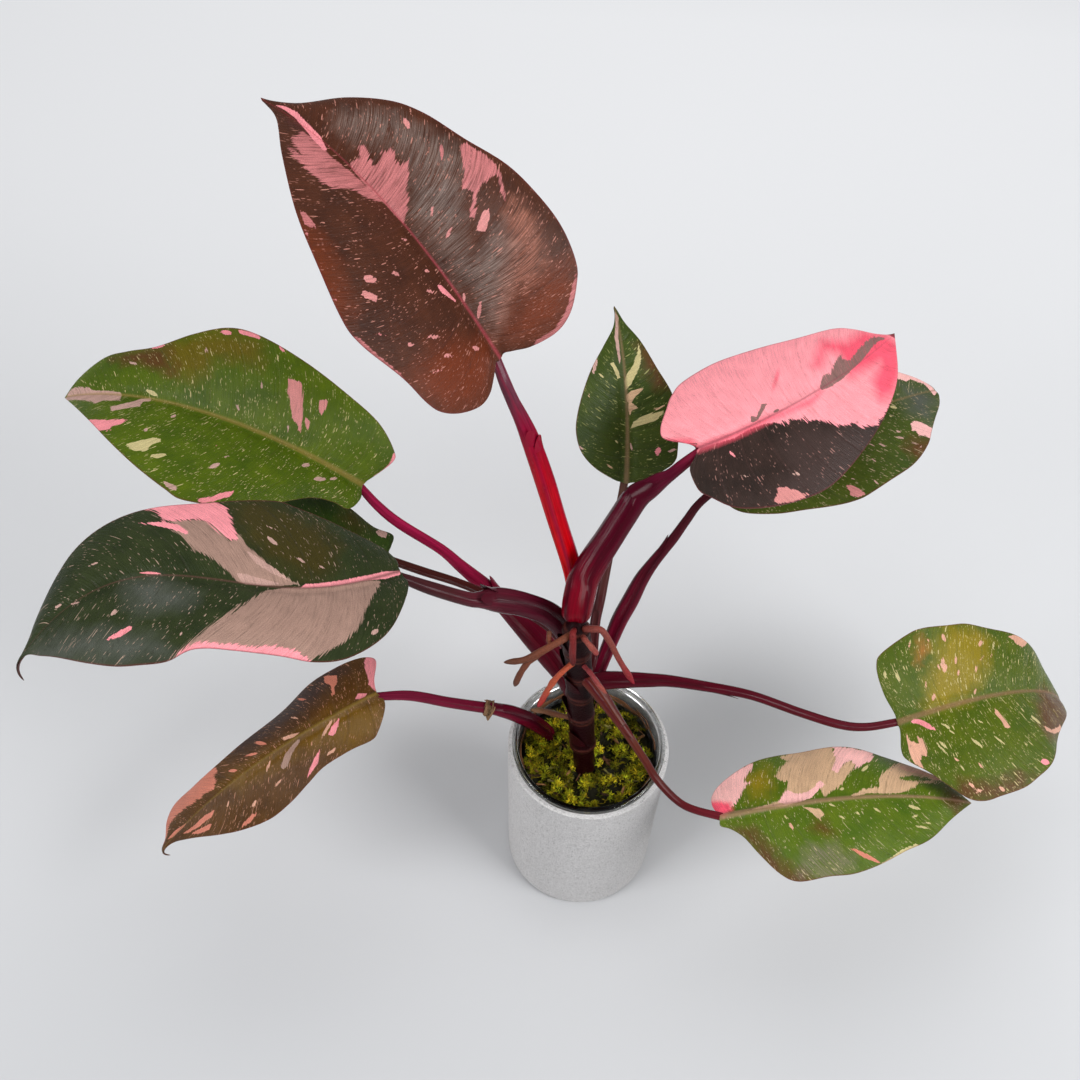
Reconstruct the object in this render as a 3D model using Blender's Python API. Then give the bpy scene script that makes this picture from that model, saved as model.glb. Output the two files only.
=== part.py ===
"""A pink princess philodendron in its pot: ten variegated leaves on a short cane.

The cane stands in moss and potting mix, in a clear nursery pot that hangs by its lip
in a pale cover pot. Lengths in the tables are millimetres and angles are degrees; MM
turns them into metres. The origin is the middle of the cover pot's underside, +Z is
up, +X is to the right of the plant's front and +Y is towards its back.
"""

import math

import bmesh
import bpy
import numpy as np

MM = 0.001
GAP = 0.3  # clearance between two pieces that touch

# Cover pot
COVER_HEIGHT = 126.0
COVER_TOP_RADIUS = 47.5
COVER_BASE_RADIUS = 46.0
COVER_WALL = 4.3
COVER_FLOOR = 6.0
COVER_FOOT_ROUND = 4.0
COVER_SEGMENTS = 40

# Clear nursery pot, which hangs by its lip on the cover pot's top edge
NURSERY_WALL = 0.8
NURSERY_TOP_RADIUS = 42.6
NURSERY_BASE_RADIUS = 33.5
NURSERY_BASE_HEIGHT = 42.0
LIP_RADIUS = 45.0
LIP_HEIGHT = 4.2
LIP_WIDTH = 3.2
DRAIN_HOLES = 6
DRAIN_RADIUS = 3.5
DRAIN_CIRCLE = 22.0

# Potting mix and moss
MIX_TOP = 108.0
MOSS_TOP = 116.0
MOSS_RINGS = 7
MOSS_SEGMENTS = 30
MOSS_LUMP = 2.0

# Cane: its centre line, its radius, and the heights of its leaf scars
CANE_ROUTE = [(-2, -8, 86), (-2, -8, 116), (-4, -5, 139), (-6, -2, 161), (-8, 0, 184),
              (-10, 3, 207), (-12, 5, 229), (-13.5, 7.3, 247)]
CANE_RADIUS = 7.4
CANE_FOOT_RADIUS = 6.2  # below the lowest scar
CANE_SCARS = (139, 166, 186, 203, 222, 240)
SCAR_HEIGHT = 0.7
SCAR_SPREAD = 3.0
CANE_SIDES = 14
CANE_SECTIONS = 24

# Leaf stalks: the centre line from the cane to the blade as (x, y, z, radius), and the
# share of its length, from the cane, that carries a sheath
PETIOLE_SIDES = 10
PETIOLE_SECTIONS = 15
PETIOLE_FLAT = 0.86  # height of a stalk's section over its width at the cane
BLADE_THICKNESS = 0.7
STALK_UNDER = 3.0  # how far a stalk reaches under its blade
STALK_TIP_RADIUS = 2.3
ROOM_ABOVE = 4.0
MARGIN_ROWS = 16
HALF_COLUMNS = 4

COLOURS = {
    "concrete": (0.62, 0.62, 0.60), "clear": (0.85, 0.88, 0.88), "mix": (0.05, 0.03, 0.02),
    "moss": (0.16, 0.20, 0.02), "cane": (0.06, 0.01, 0.02), "root": (0.30, 0.08, 0.05),
    "maroon": (0.12, 0.01, 0.03), "red": (0.55, 0.01, 0.02), "crimson": (0.30, 0.01, 0.06),
    "brown_leaf": (0.12, 0.05, 0.03), "green_leaf": (0.07, 0.14, 0.02),
    "dark_leaf": (0.03, 0.05, 0.03), "pink_leaf": (0.80, 0.28, 0.34),
    "olive_leaf": (0.14, 0.10, 0.02), "husk": (0.25, 0.14, 0.07),
}

PETIOLES = {
    "01": dict(colour="red", sheath=0.72, route=[
        (-13, 7, 238, 4.0), (-12, 14, 240, 4.6), (-12, 21, 244, 5.0), (-14.6, 28, 253, 5.2),
        (-18, 33, 264, 5.2), (-25.7, 41.4, 286, 5.2), (-33.2, 49.2, 309, 5.3),
        (-41, 56, 331, 4.8), (-45.4, 59.2, 341.5, 4.0), (-50.5, 62.4, 352, 3.3),
        (-54.8, 65.6, 362, 3.0)]),
    "02": dict(colour="crimson", sheath=0.46, route=[
        (-7, 0, 167, 5.0), (-11, 9, 173, 6.2), (-15.9, 15.5, 179, 7.2), (-24.2, 23.4, 185, 8.0),
        (-33.8, 31.9, 191, 8.0), (-43.3, 39.6, 196, 7.0), (-55, 48.5, 202, 5.6),
        (-67, 56.6, 207.3, 4.5), (-79, 64, 212.6, 3.6), (-90.6, 71.3, 217.6, 3.1),
        (-114, 82.4, 224.4, 3.0), (-127, 89.5, 231, 2.8)]),
    "03": dict(colour="maroon", sheath=0.56, route=[
        (-11.5, 4, 219, 5.4), (-15.5, 10.5, 224, 6.4), (-20.2, 14.9, 229.4, 6.9),
        (-25.8, 16.5, 235, 6.9), (-32.3, 16.8, 240, 6.8), (-43, 15.2, 247.4, 6.8),
        (-50.8, 13.5, 251.6, 7.0), (-57.5, 11.8, 255, 6.4), (-63.5, 9.4, 257.6, 4.6),
        (-70, 7.2, 261, 3.9), (-88.5, 4.5, 273, 3.5)]),
    "04": dict(colour="maroon", sheath=0.30, route=[
        (-10.5, 3, 206, 3.0), (-16, 12, 211, 3.0), (-26.4, 22.7, 215, 2.9),
        (-40.5, 31.3, 217, 2.8), (-54.6, 37.7, 217.4, 2.5), (-77.5, 48.2, 217, 2.4),
        (-100.8, 57.1, 215.3, 2.5)]),
    "05": dict(colour="crimson", sheath=0.48, route=[
        (-19, 10, 97, 4.2), (-21, 11, 108, 4.4), (-23.9, 12.2, 116.5, 4.6),
        (-28.6, 11.8, 124.6, 4.8), (-34.4, 11.2, 132.2, 4.8), (-40.8, 10.4, 138.4, 4.8),
        (-47, 10, 143, 4.5), (-52.8, 9.4, 146.2, 4.0), (-58.6, 8.8, 148.6, 3.5),
        (-81.6, 7.7, 155, 3.2), (-104.3, 7.4, 161.2, 3.0)]),
    "06": dict(colour="maroon", sheath=0.40, route=[
        (-10, 3, 188, 2.6), (-5, 8, 192, 2.8), (-2.2, 14, 197.4, 2.9), (-1.8, 23, 204, 2.9),
        (-1.3, 31, 212, 2.9), (0.7, 39.6, 219, 2.8), (3.2, 52.2, 230.2, 2.6),
        (6, 66.1, 242.5, 2.4), (9.4, 82, 253.5, 2.2)]),
    "07": dict(colour="maroon", sheath=0.64, route=[
        (-13.5, 7.3, 245, 7.0), (-13.2, 10, 252.5, 8.0), (-12.2, 15, 258.5, 8.3),
        (-10.3, 21.2, 264, 8.2), (-5, 28.2, 272, 7.9), (1, 35, 280, 7.4), (6.8, 41.7, 288, 7.2),
        (14.1, 49.5, 297.5, 6.9), (20.8, 52.2, 302.4, 5.6), (25.7, 54.5, 305.6, 4.6),
        (30.5, 56.2, 308.6, 3.3), (37, 59.6, 313.5, 3.0)]),
    "08": dict(colour="maroon", sheath=0.66, route=[
        (-8, 1, 168, 3.4), (-3, 9.5, 173, 3.6), (1.7, 16.1, 178.7, 3.8), (4.6, 21.7, 186, 4.0),
        (8.5, 29.5, 195, 4.3), (12.6, 37.5, 203.4, 4.7), (18.2, 45.8, 211.6, 4.8),
        (23.5, 54.1, 219.8, 4.2), (29.5, 61, 226.5, 3.4), (35.4, 67, 231.7, 3.0),
        (40.4, 72, 236, 2.8), (47.2, 79.9, 243, 2.5), (54.5, 87.3, 250.5, 2.3)]),
    "09": dict(colour="maroon", sheath=0.42, route=[
        (-9, 1, 184, 4.6), (-3, 5.8, 185.6, 5.0), (3, 7.9, 185.7, 5.3), (9, 9, 185.4, 5.3),
        (20, 10.3, 184.6, 4.7), (31.2, 11.2, 183.7, 4.1), (42.6, 11.9, 182.6, 3.5),
        (60, 11.3, 180.2, 3.1), (88.7, 9.8, 175, 2.7), (118.5, 5.8, 165, 2.6),
        (142, 2.1, 159.7, 2.6), (158, 2.3, 158.2, 2.4)]),
    "10": dict(colour="maroon", sheath=0.34, route=[
        (-9, 1, 204, 4.4), (-5, -1.5, 203, 4.5), (-1, -4.5, 200, 4.4), (5, -10, 195, 3.9),
        (12.9, -18.1, 188.5, 2.9), (20.8, -25.4, 180.5, 2.4), (29.2, -32.3, 170, 2.3),
        (36.6, -38.8, 160.8, 2.3), (47.7, -46.4, 153, 2.2), (57.5, -50.4, 150.2, 2.2)]),
}

# Where two stalks start close together, the first of each pair gives way to the second
STALK_GIVES_WAY = [("01", "07"), ("08", "02")]

# Leaf blades. base is where the stalk meets the blade. azimuth, elevation and roll turn
# the blade there; droop bends its midrib down by the tip, more towards the tip where
# bend is larger. fold lifts both halves, curl rolls their margins down, sweep and s_bend
# curve the midrib sideways. left and right are the margins from the base round the lobe
# to the tip, as (along the midrib, out from it). tail is the drip tip's length and
# tail_curl the angle that it turns. wave is (height, count, phase) of the margin.
BLADES = {
    "01": dict(colour="brown_leaf", base=(-57, 70, 372), azimuth=148, elevation=50, roll=9,
               length=167, droop=55, bend=1.5, fold=18, curl=0, sweep=-0.014, s_bend=0,
               tail=7, tail_curl=-20, puff=4, wave=(1.5, 2.5, 0.1),
               left=[(-1, 7), (-7, 17), (-8, 28), (-3, 41), (4, 50), (12, 54), (27, 57),
                     (49, 65), (63, 64), (88, 52), (110, 40), (134, 23), (156, 6)],
               right=[(1, 5), (-4, 15), (-6, 30), (-2, 41), (8, 51), (16, 56), (33, 60),
                      (50, 60), (68, 57), (89, 48), (109, 42), (123, 36), (140, 24),
                      (156, 8)]),
    "02": dict(colour="green_leaf", base=(-136, 97, 240), azimuth=162, elevation=24,
               roll=17, length=190, droop=51, bend=1.5, fold=19, curl=0, sweep=0.14,
               s_bend=0, tail=3, tail_curl=10, puff=3, wave=(2.0, 2.0, 0.6),
               left=[(-3, 9), (0, 19), (9, 20), (21, 25), (37, 41), (55, 54), (75, 60),
                     (87, 57), (109, 48), (130, 37), (150, 25), (172, 12)],
               right=[(-2, 5), (-8, 20), (-5, 26), (10, 35), (32, 41), (59, 47), (88, 51),
                      (105, 50), (123, 42), (142, 32), (160, 28), (174, 24), (187, 12)]),
    "03": dict(colour="dark_leaf", base=(-103, 5, 285), azimuth=193, elevation=16, roll=-5,
               length=189, droop=56, bend=2.5, fold=1, curl=0, sweep=0.085, s_bend=0.06,
               tail=16, tail_curl=75, puff=3, wave=(2.0, 2.0, 0.3),
               left=[(-3, 8), (2, 22), (13, 36), (32, 44), (49, 45), (64, 43), (84, 44),
                     (102, 46), (114, 53), (126, 53), (139, 49), (155, 37), (175, 16),
                     (188, 2)],
               right=[(1, 9), (10, 22), (31, 41), (48, 53), (58, 58), (76, 57), (97, 51),
                      (125, 43), (153, 34), (166, 26), (180, 13), (189, 2)]),
    "04": dict(colour="green_leaf", base=(-120, 67, 215), azimuth=187, elevation=10, roll=0,
               length=106, droop=35, bend=1.5, fold=6, curl=0, sweep=0, s_bend=0,
               tail=4, tail_curl=20, puff=2, wave=(1.5, 2.0, 0.0),
               left=[(-3, 6), (-4, 16), (4, 28), (15, 35), (29, 40), (48, 41), (67, 36),
                     (85, 24), (98, 10)],
               right=[(-2, 6), (-3, 14), (8, 19), (21, 30), (30, 35), (44, 39), (65, 39),
                      (84, 27), (98, 11)]),
    "05": dict(colour="olive_leaf", base=(-123, 6, 165), azimuth=209, elevation=-8, roll=8,
               length=156, droop=38, bend=1.2, fold=-14, curl=0.35, sweep=0.06, s_bend=0,
               tail=14, tail_curl=95, puff=1, wave=(2.5, 2.5, 0.2),
               left=[(-2, 6), (1, 12), (8, 19), (14, 22), (28, 21), (45, 22), (58, 26),
                     (71, 29), (87, 29), (106, 24), (120, 18), (136, 9), (151, 2)],
               right=[(-2, 9), (-8, 22), (-3, 28), (6, 30), (17, 30), (34, 29), (54, 23),
                      (76, 19), (99, 16), (122, 17), (141, 18), (150, 13), (155, 3)]),
    "06": dict(colour="green_leaf", base=(12, 90, 260), azimuth=90, elevation=40, roll=-13,
               length=97, droop=24, bend=1.5, fold=12, curl=0, sweep=0.06, s_bend=0,
               tail=5, tail_curl=10, puff=1, wave=(0.8, 2.0, 0.0),
               left=[(2, 8), (8, 20), (16, 28), (26, 31), (36, 30), (49, 26), (62, 20),
                     (76, 11), (89, 3)],
               right=[(2, 9), (9, 22), (14, 27), (20, 28), (33, 28), (50, 26), (66, 18),
                      (80, 11), (91, 4)]),
    "07": dict(colour="pink_leaf", base=(44, 65, 320), azimuth=29, elevation=0, roll=-6,
               length=150, droop=18, bend=1.5, fold=-8, curl=0.15, sweep=0.22, s_bend=0,
               tail=5, tail_curl=-30, puff=1.5, wave=(1.0, 1.5, 0.2),
               left=[(-2, 4), (-12, 13), (-10, 21), (0, 32), (8, 40), (20, 47), (43, 50),
                     (68, 45), (95, 36), (120, 28), (132, 20), (144, 8)],
               right=[(-5, 4), (-10, 9), (-11, 20), (-7, 26), (3, 36), (21, 43), (42, 47),
                      (60, 47), (86, 41), (112, 33), (135, 22), (149, 8)]),
    "08": dict(colour="green_leaf", base=(68, 96, 262), azimuth=29, elevation=12, roll=-8,
               length=147, droop=30, bend=1.5, fold=6, curl=0, sweep=0, s_bend=0,
               tail=4, tail_curl=60, puff=1.5, wave=(3.0, 2.5, 0.4),
               left=[(-6, 7), (-8, 18), (-2, 30), (14, 40), (34, 45), (58, 45), (82, 40),
                     (106, 30), (128, 19), (141, 11)],
               right=[(-7, 5), (-9, 15), (-4, 25), (10, 34), (28, 40), (49, 48), (62, 49),
                      (86, 45), (101, 40), (114, 33), (122, 26), (129, 20), (142, 10)]),
    "09": dict(colour="green_leaf", base=(175, 5, 160), azimuth=22, elevation=4, roll=-21,
               length=150, droop=63, bend=1.5, fold=9, curl=0, sweep=-0.13, s_bend=0,
               tail=3, tail_curl=20, puff=2, wave=(2.5, 3.0, 0.0),
               left=[(0, 6), (-2, 16), (-2, 27), (0, 35), (5, 40), (24, 46), (33, 47),
                     (48, 45), (64, 44), (82, 40), (99, 35), (114, 27), (128, 16),
                     (142, 6)],
               right=[(-1, 6), (-5, 16), (-4, 22), (4, 32), (10, 42), (18, 53), (27, 57),
                      (38, 57), (54, 56), (65, 52), (78, 46), (96, 34), (114, 23),
                      (134, 12), (144, 5)]),
    "10": dict(colour="green_leaf", base=(72, -54, 150), azimuth=12, elevation=6, roll=4,
               length=150, droop=31, bend=1.5, fold=-14, curl=0, sweep=-0.03, s_bend=0,
               tail=3, tail_curl=10, puff=1.5, wave=(2.5, 3.0, 0.5),
               left=[(-2, 9), (0, 17), (8, 25), (25, 33), (44, 38), (58, 39), (79, 38),
                     (107, 32), (123, 25), (141, 13)],
               right=[(-1, 5), (4, 8), (10, 14), (16, 24), (25, 36), (34, 42), (50, 43),
                      (64, 43), (81, 38), (98, 32), (115, 26), (136, 11)]),
}

# Aerial roots: branches as (radius, centre line); they start inside the cane
ROOTS = {
    "aerial_root_1": [
        (1.9, [(-13, 4, 240), (-18, -2, 243), (-29, -8, 240), (-39, -11, 234),
               (-50, -12, 232)]),
        (1.7, [(-32, -9, 237), (-38, -11, 230), (-42, -13, 220), (-44, -14, 212)]),
        (1.3, [(-26, -6, 241), (-27, -3, 241), (-27, 2, 243)])],
    "aerial_root_2": [
        (1.8, [(-14, 3, 243), (-14.8, -2, 247), (-14.5, -5, 242), (-14.2, -6, 234),
               (-13.5, -7, 224)])],
    "aerial_root_3": [
        (1.7, [(-10, 5, 241), (-5, 0, 249), (0, -2, 251), (5, -4, 243), (11, -7, 230),
               (20, -8, 210)])],
    "aerial_root_4": [
        (1.6, [(-11, 1, 218), (-18, -7, 219), (-23, -10, 213), (-27, -12, 203),
               (-31, -12, 188)])],
    "aerial_root_5": [(1.6, [(-11, 3, 240), (-6, -5, 242), (-1, -6, 234)])],
    "aerial_root_6": [(1.3, [(-9, 0, 216), (-4, -8, 219), (0, -13, 217), (5, -16, 212)])],
    "aerial_root_7": [
        (1.6, [(-6, -3, 163), (-15, -2, 162), (-27, 6, 153), (-35, 9, 149)])],
}
ROOT_SIDES = 6
ROOTS_BY_TOP_STALK = ("aerial_root_2", "aerial_root_3")

# Dried husk round the lowest stalk: its place along the stalk, width and thickness
HUSK_AT = 0.51
HUSK_WIDTH = 5.0
HUSK_THICKNESS = 0.8


def clear_scene():
    for obj in list(bpy.data.objects):
        bpy.data.objects.remove(obj)


def material(name, colour, roughness=0.4, metallic=0.0):
    mat = bpy.data.materials.new(name)
    mat.use_nodes = True
    shader = mat.node_tree.nodes["Principled BSDF"]
    shader.inputs["Base Color"].default_value = (*colour, 1.0)
    shader.inputs["Roughness"].default_value = roughness
    shader.inputs["Metallic"].default_value = metallic
    return mat


def mesh_object(name, points, faces, mat, smooth=True):
    """One closed mesh from points in millimetres, with its faces turned outwards."""
    bm = bmesh.new()
    verts = [bm.verts.new([c * MM for c in p]) for p in points]
    for face in faces:
        bm.faces.new([verts[i] for i in face])
    bmesh.ops.recalc_face_normals(bm, faces=bm.faces)
    if bm.calc_volume(signed=True) < 0:
        bmesh.ops.reverse_faces(bm, faces=bm.faces)
    mesh = bpy.data.meshes.new(name)
    bm.to_mesh(mesh)
    bm.free()
    if smooth:
        mesh.shade_smooth()
        mesh.set_sharp_from_angle(angle=math.radians(50))
    mesh.materials.append(mat)
    obj = bpy.data.objects.new(name, mesh)
    bpy.context.scene.collection.objects.link(obj)
    return obj


def hide_cutter(obj):
    obj.hide_render = True
    obj.display_type = "WIRE"


def cut(obj, cutter):
    modifier = obj.modifiers.new("cut_" + cutter.name, "BOOLEAN")
    modifier.operation = "DIFFERENCE"
    modifier.solver = "EXACT"
    modifier.object = cutter


def join(obj, other):
    """Fuses other into obj by a Boolean union and removes other."""
    modifier = obj.modifiers.new("join", "BOOLEAN")
    modifier.operation = "UNION"
    modifier.solver = "EXACT"
    modifier.object = other
    bpy.context.view_layer.update()
    graph = bpy.context.evaluated_depsgraph_get()
    mesh = bpy.data.meshes.new_from_object(obj.evaluated_get(graph))
    obj.modifiers.clear()
    obj.data = mesh
    bpy.data.objects.remove(other)


def smooth_route(points, count):
    """A smooth curve through the points, read at count even steps of its length.

    Columns after the third, such as a radius, are carried along.
    """
    p = np.array(points, float)
    p = np.vstack([2 * p[0] - p[1], p, 2 * p[-1] - p[-2]])
    fine = []
    for i in range(1, len(p) - 2):
        for t in np.linspace(0, 1, 12, endpoint=False):
            a = 2 * p[i]
            b = p[i + 1] - p[i - 1]
            c = 2 * p[i - 1] - 5 * p[i] + 4 * p[i + 1] - p[i + 2]
            d = 3 * p[i] - 3 * p[i + 1] + p[i + 2] - p[i - 1]
            fine.append(0.5 * (a + b * t + c * t * t + d * t ** 3))
    fine = np.array(fine + [p[-2]])
    steps = np.linalg.norm(np.diff(fine[:, :3], axis=0), axis=1)
    along = np.r_[0, np.cumsum(steps)]
    wanted = np.linspace(0, along[-1], count)
    return np.stack([np.interp(wanted, along, fine[:, k]) for k in range(fine.shape[1])], 1)


def section_axes(path, level=True):
    """For each point of the path: its direction, its upper side and its left side.

    Where level is false, the sides turn as little as they can along the path, so that a
    section may also stand upright.
    """
    tangent = np.gradient(path, axis=0)
    tangent /= np.linalg.norm(tangent, axis=1)[:, None]
    up = np.tile([0.0, 0.0, 1.0] if level else [0.31, 0.87, 0.39], (len(path), 1))
    for i, direction in enumerate(tangent):
        if i and not level:
            up[i] = up[i - 1]
        up[i] -= direction * np.dot(up[i], direction)
        up[i] /= np.linalg.norm(up[i])
    return tangent, up, np.cross(up, tangent)


def tube_mesh(sections):
    """Points and faces of a closed tube through rings of equally many points.

    Each side is split into triangles the same way, so that a tube and its room agree.
    """
    rings, sides = len(sections), len(sections[0])
    points = [p for ring in sections for p in ring]
    faces = [list(range(sides)), [(rings - 1) * sides + k for k in range(sides)][::-1]]
    for i in range(rings - 1):
        for k in range(sides):
            a, b = i * sides + k, i * sides + (k + 1) % sides
            faces += [[a, b, b + sides], [a, b + sides, a + sides]]
    return points, faces


def round_tube(name, route, radius, sides, count, mat, end_scale=1.0, extra=0.0):
    """A round tube along a route. radius is a number or a function of the centre point."""
    path = smooth_route(route, count)
    tangent, up, side = section_axes(path, level=False)
    path[0] -= tangent[0] * extra
    path[-1] += tangent[-1] * extra
    rings = []
    for i, centre in enumerate(path):
        r = radius(centre) if callable(radius) else radius
        r = r * (end_scale if i == count - 1 else 1.0) + extra
        ring = []
        for k in range(sides):
            a = 2 * math.pi * k / sides
            ring.append(centre + r * (math.cos(a) * side[i] + math.sin(a) * up[i]))
        rings.append(ring)
    points, faces = tube_mesh(rings)
    return mesh_object(name, points, faces, mat)


def revolve(name, profile, segments, mat):
    """Turns a closed profile of (radius, height) about Z; radius 0 becomes one point."""
    points = []
    rings = []
    for r, z in profile:
        if r == 0:
            rings.append([len(points)] * segments)
            points.append((0, 0, z))
            continue
        rings.append(list(range(len(points), len(points) + segments)))
        for k in range(segments):
            a = 2 * math.pi * k / segments
            points.append((r * math.cos(a), r * math.sin(a), z))
    faces = []
    closed = profile[0][0] != 0
    pairs = list(zip(rings, rings[1:])) + ([(rings[-1], rings[0])] if closed else [])
    for low, high in pairs:
        for k in range(segments):
            n = (k + 1) % segments
            corners = [low[k], low[n], high[n], high[k]]
            face = [c for j, c in enumerate(corners) if c not in corners[:j]]
            if len(face) > 2:
                faces.append(face)
    return mesh_object(name, points, faces, mat)


def cover_pot(mat):
    """The pale cover pot: a straight-sided cup with a rounded foot and rim."""
    foot = []
    for step in range(4):
        a = math.radians(-90 + 30 * step)
        foot.append((COVER_BASE_RADIUS - COVER_FOOT_ROUND * (1 - math.cos(a)),
                     COVER_FOOT_ROUND * (1 + math.sin(a))))
    inner_top = COVER_TOP_RADIUS - COVER_WALL
    inner_base = COVER_BASE_RADIUS - COVER_WALL
    profile = [(0, 0), *foot, (COVER_TOP_RADIUS, COVER_HEIGHT - 1),
               (COVER_TOP_RADIUS - 1, COVER_HEIGHT), (inner_top, COVER_HEIGHT),
               (inner_base, COVER_FLOOR + 3), (inner_base - 3, COVER_FLOOR),
               (0, COVER_FLOOR)]
    return revolve("cover_pot", profile, COVER_SEGMENTS, mat)


def nursery_radius(z):
    """Outer radius of the nursery pot's wall at height z."""
    share = (z - NURSERY_BASE_HEIGHT) / (COVER_HEIGHT - NURSERY_BASE_HEIGHT)
    return NURSERY_BASE_RADIUS + (NURSERY_TOP_RADIUS - NURSERY_BASE_RADIUS) * share


def nursery_pot(mat):
    """The thin clear pot, its rounded lip, and the drain holes in its floor."""
    lip_low = COVER_HEIGHT + GAP
    lip_top = lip_low + LIP_HEIGHT
    inner = LIP_RADIUS - LIP_WIDTH
    floor = NURSERY_BASE_HEIGHT
    profile = [(0, floor), (NURSERY_BASE_RADIUS - 1.5, floor), (NURSERY_BASE_RADIUS, floor + 2),
               (nursery_radius(lip_low), lip_low), (LIP_RADIUS, lip_low),
               (LIP_RADIUS, lip_top - 0.8), (LIP_RADIUS - 0.8, lip_top),
               (inner + 0.6, lip_top), (inner, lip_top - 0.8), (inner, lip_low),
               (NURSERY_BASE_RADIUS - NURSERY_WALL, floor + 2),
               (NURSERY_BASE_RADIUS - 1.5 - NURSERY_WALL / 2, floor + NURSERY_WALL),
               (0, floor + NURSERY_WALL)]
    pot = revolve("nursery_pot", profile, COVER_SEGMENTS, mat)
    cutter = None
    for k in range(DRAIN_HOLES):
        a = 2 * math.pi * (k + 0.5) / DRAIN_HOLES
        x, y = DRAIN_CIRCLE * math.cos(a), DRAIN_CIRCLE * math.sin(a)
        hole = round_tube(f"drain_{k}", [(x, y, floor - 3), (x, y, floor + 4)],
                          DRAIN_RADIUS, 12, 2, mat)
        hide_cutter(hole)
        cut(pot, hole)
    return pot


def potting_mix(mat, cutters):
    """The filling of the nursery pot, with a plain hole for each stem."""
    low = NURSERY_BASE_HEIGHT + NURSERY_WALL + GAP
    slack = NURSERY_WALL + 2 * GAP
    profile = [(0, low), (nursery_radius(low) - slack - 2, low),
               (nursery_radius(low + 2) - slack, low + 2),
               (nursery_radius(MIX_TOP) - slack, MIX_TOP), (0, MIX_TOP)]
    mix = revolve("potting_mix", profile, COVER_SEGMENTS, mat)
    for cutter in cutters:
        cut(mix, cutter)
    return mix


def moss_height(x, y):
    """Lumpy top of the moss: short waves in several directions."""
    h = math.sin(0.31 * x + 0.9) * math.cos(0.27 * y - 0.4)
    h += 0.6 * math.sin(0.62 * x - 0.43 * y + 2.1) + 0.4 * math.cos(0.55 * y + 0.71 * x)
    return MOSS_TOP + MOSS_LUMP * h / 2


def moss(mat, cutters):
    """A lumpy mat of moss over the mix, with a plain hole for each stem."""
    low = MIX_TOP + GAP
    edge = nursery_radius(low) - NURSERY_WALL - GAP - 0.6
    points = [(0, 0, moss_height(0, 0))]
    for ring in range(1, MOSS_RINGS + 1):
        r = edge * ring / MOSS_RINGS
        for k in range(MOSS_SEGMENTS):
            a = 2 * math.pi * (k + 0.5 * (ring % 2)) / MOSS_SEGMENTS
            x, y = r * math.cos(a), r * math.sin(a)
            z = moss_height(x, y) - (2.5 if ring == MOSS_RINGS else 0)
            points.append((x, y, z))
    rim = 1 + (MOSS_RINGS - 1) * MOSS_SEGMENTS
    base = len(points)
    for k in range(MOSS_SEGMENTS):
        x, y, _ = points[rim + k]
        points.append((x, y, low))
    points.append((0, 0, low))
    faces = []
    for k in range(MOSS_SEGMENTS):
        n = (k + 1) % MOSS_SEGMENTS
        faces.append([0, 1 + k, 1 + n])
        for ring in range(MOSS_RINGS - 1):
            a, b = 1 + ring * MOSS_SEGMENTS + k, 1 + ring * MOSS_SEGMENTS + n
            c, d = a + MOSS_SEGMENTS, b + MOSS_SEGMENTS
            faces.append([a, c, d])
            faces.append([a, d, b])
        faces.append([rim + k, base + k, base + n, rim + n])
        faces.append([base + k, len(points) - 1, base + n])
    mat_of_moss = mesh_object("moss", points, faces, mat, smooth=False)
    for cutter in cutters:
        cut(mat_of_moss, cutter)
    return mat_of_moss


def cane_radius(centre):
    """The cane swells a little at each leaf scar."""
    bumps = sum(math.exp(-(((centre[2] - z) / SCAR_SPREAD) ** 2)) for z in CANE_SCARS)
    radius = CANE_FOOT_RADIUS if centre[2] < CANE_SCARS[0] - 2 else CANE_RADIUS
    return radius + SCAR_HEIGHT * min(bumps, 1.0)


def stalk_path(spec, count):
    """Centres and radii of a leaf stalk at count even steps."""
    path = smooth_route(spec["route"] + [spec["end"]], count)
    return path[:, :3], path[:, 3]


def stalk_sections(spec, count, extra=0.0):
    """Rings of a leaf stalk: grooved on its upper side, winged where it is sheathed."""
    path, radii = stalk_path(spec, count)
    tangent, up, side = section_axes(path)
    path[0] -= tangent[0] * extra
    path[-1] += tangent[-1] * extra
    rings = []
    for i, centre in enumerate(path):
        t = i / (count - 1)
        sheathed = 1.0 if t < spec["sheath"] else 0.0
        width = radii[i]
        height = width * (PETIOLE_FLAT + (1 - PETIOLE_FLAT) * t)
        groove = 0.30 + 0.25 * sheathed
        ring = []
        for k in range(PETIOLE_SIDES):
            a = math.pi / 2 + 2 * math.pi * k / PETIOLE_SIDES
            x, y = width * math.cos(a), height * math.sin(a)
            if k == 0:
                y *= 1 - groove
            if k in (1, PETIOLE_SIDES - 1):
                y *= 1 + 0.12 * sheathed
            x += extra * math.cos(a)
            y += extra * math.sin(a)
            ring.append(centre + x * side[i] + y * up[i])
        rings.append(ring)
    return rings


def stalk(name, spec, mat, extra=0.0):
    points, faces = tube_mesh(stalk_sections(spec, PETIOLE_SECTIONS, extra))
    return mesh_object(name, points, faces, mat)


def blade_axes(spec):
    """The blade's direction, upper side and left side where the stalk meets it."""
    az = math.radians(spec["azimuth"])
    el = math.radians(spec["elevation"])
    roll = math.radians(spec["roll"])
    along = np.array([math.cos(el) * math.cos(az), math.cos(el) * math.sin(az), math.sin(el)])
    upper = np.array([-math.sin(el) * math.cos(az), -math.sin(el) * math.sin(az), math.cos(el)])
    left = np.cross(upper, along)
    return (along, upper * math.cos(roll) + left * math.sin(roll),
            left * math.cos(roll) - upper * math.sin(roll))


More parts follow.
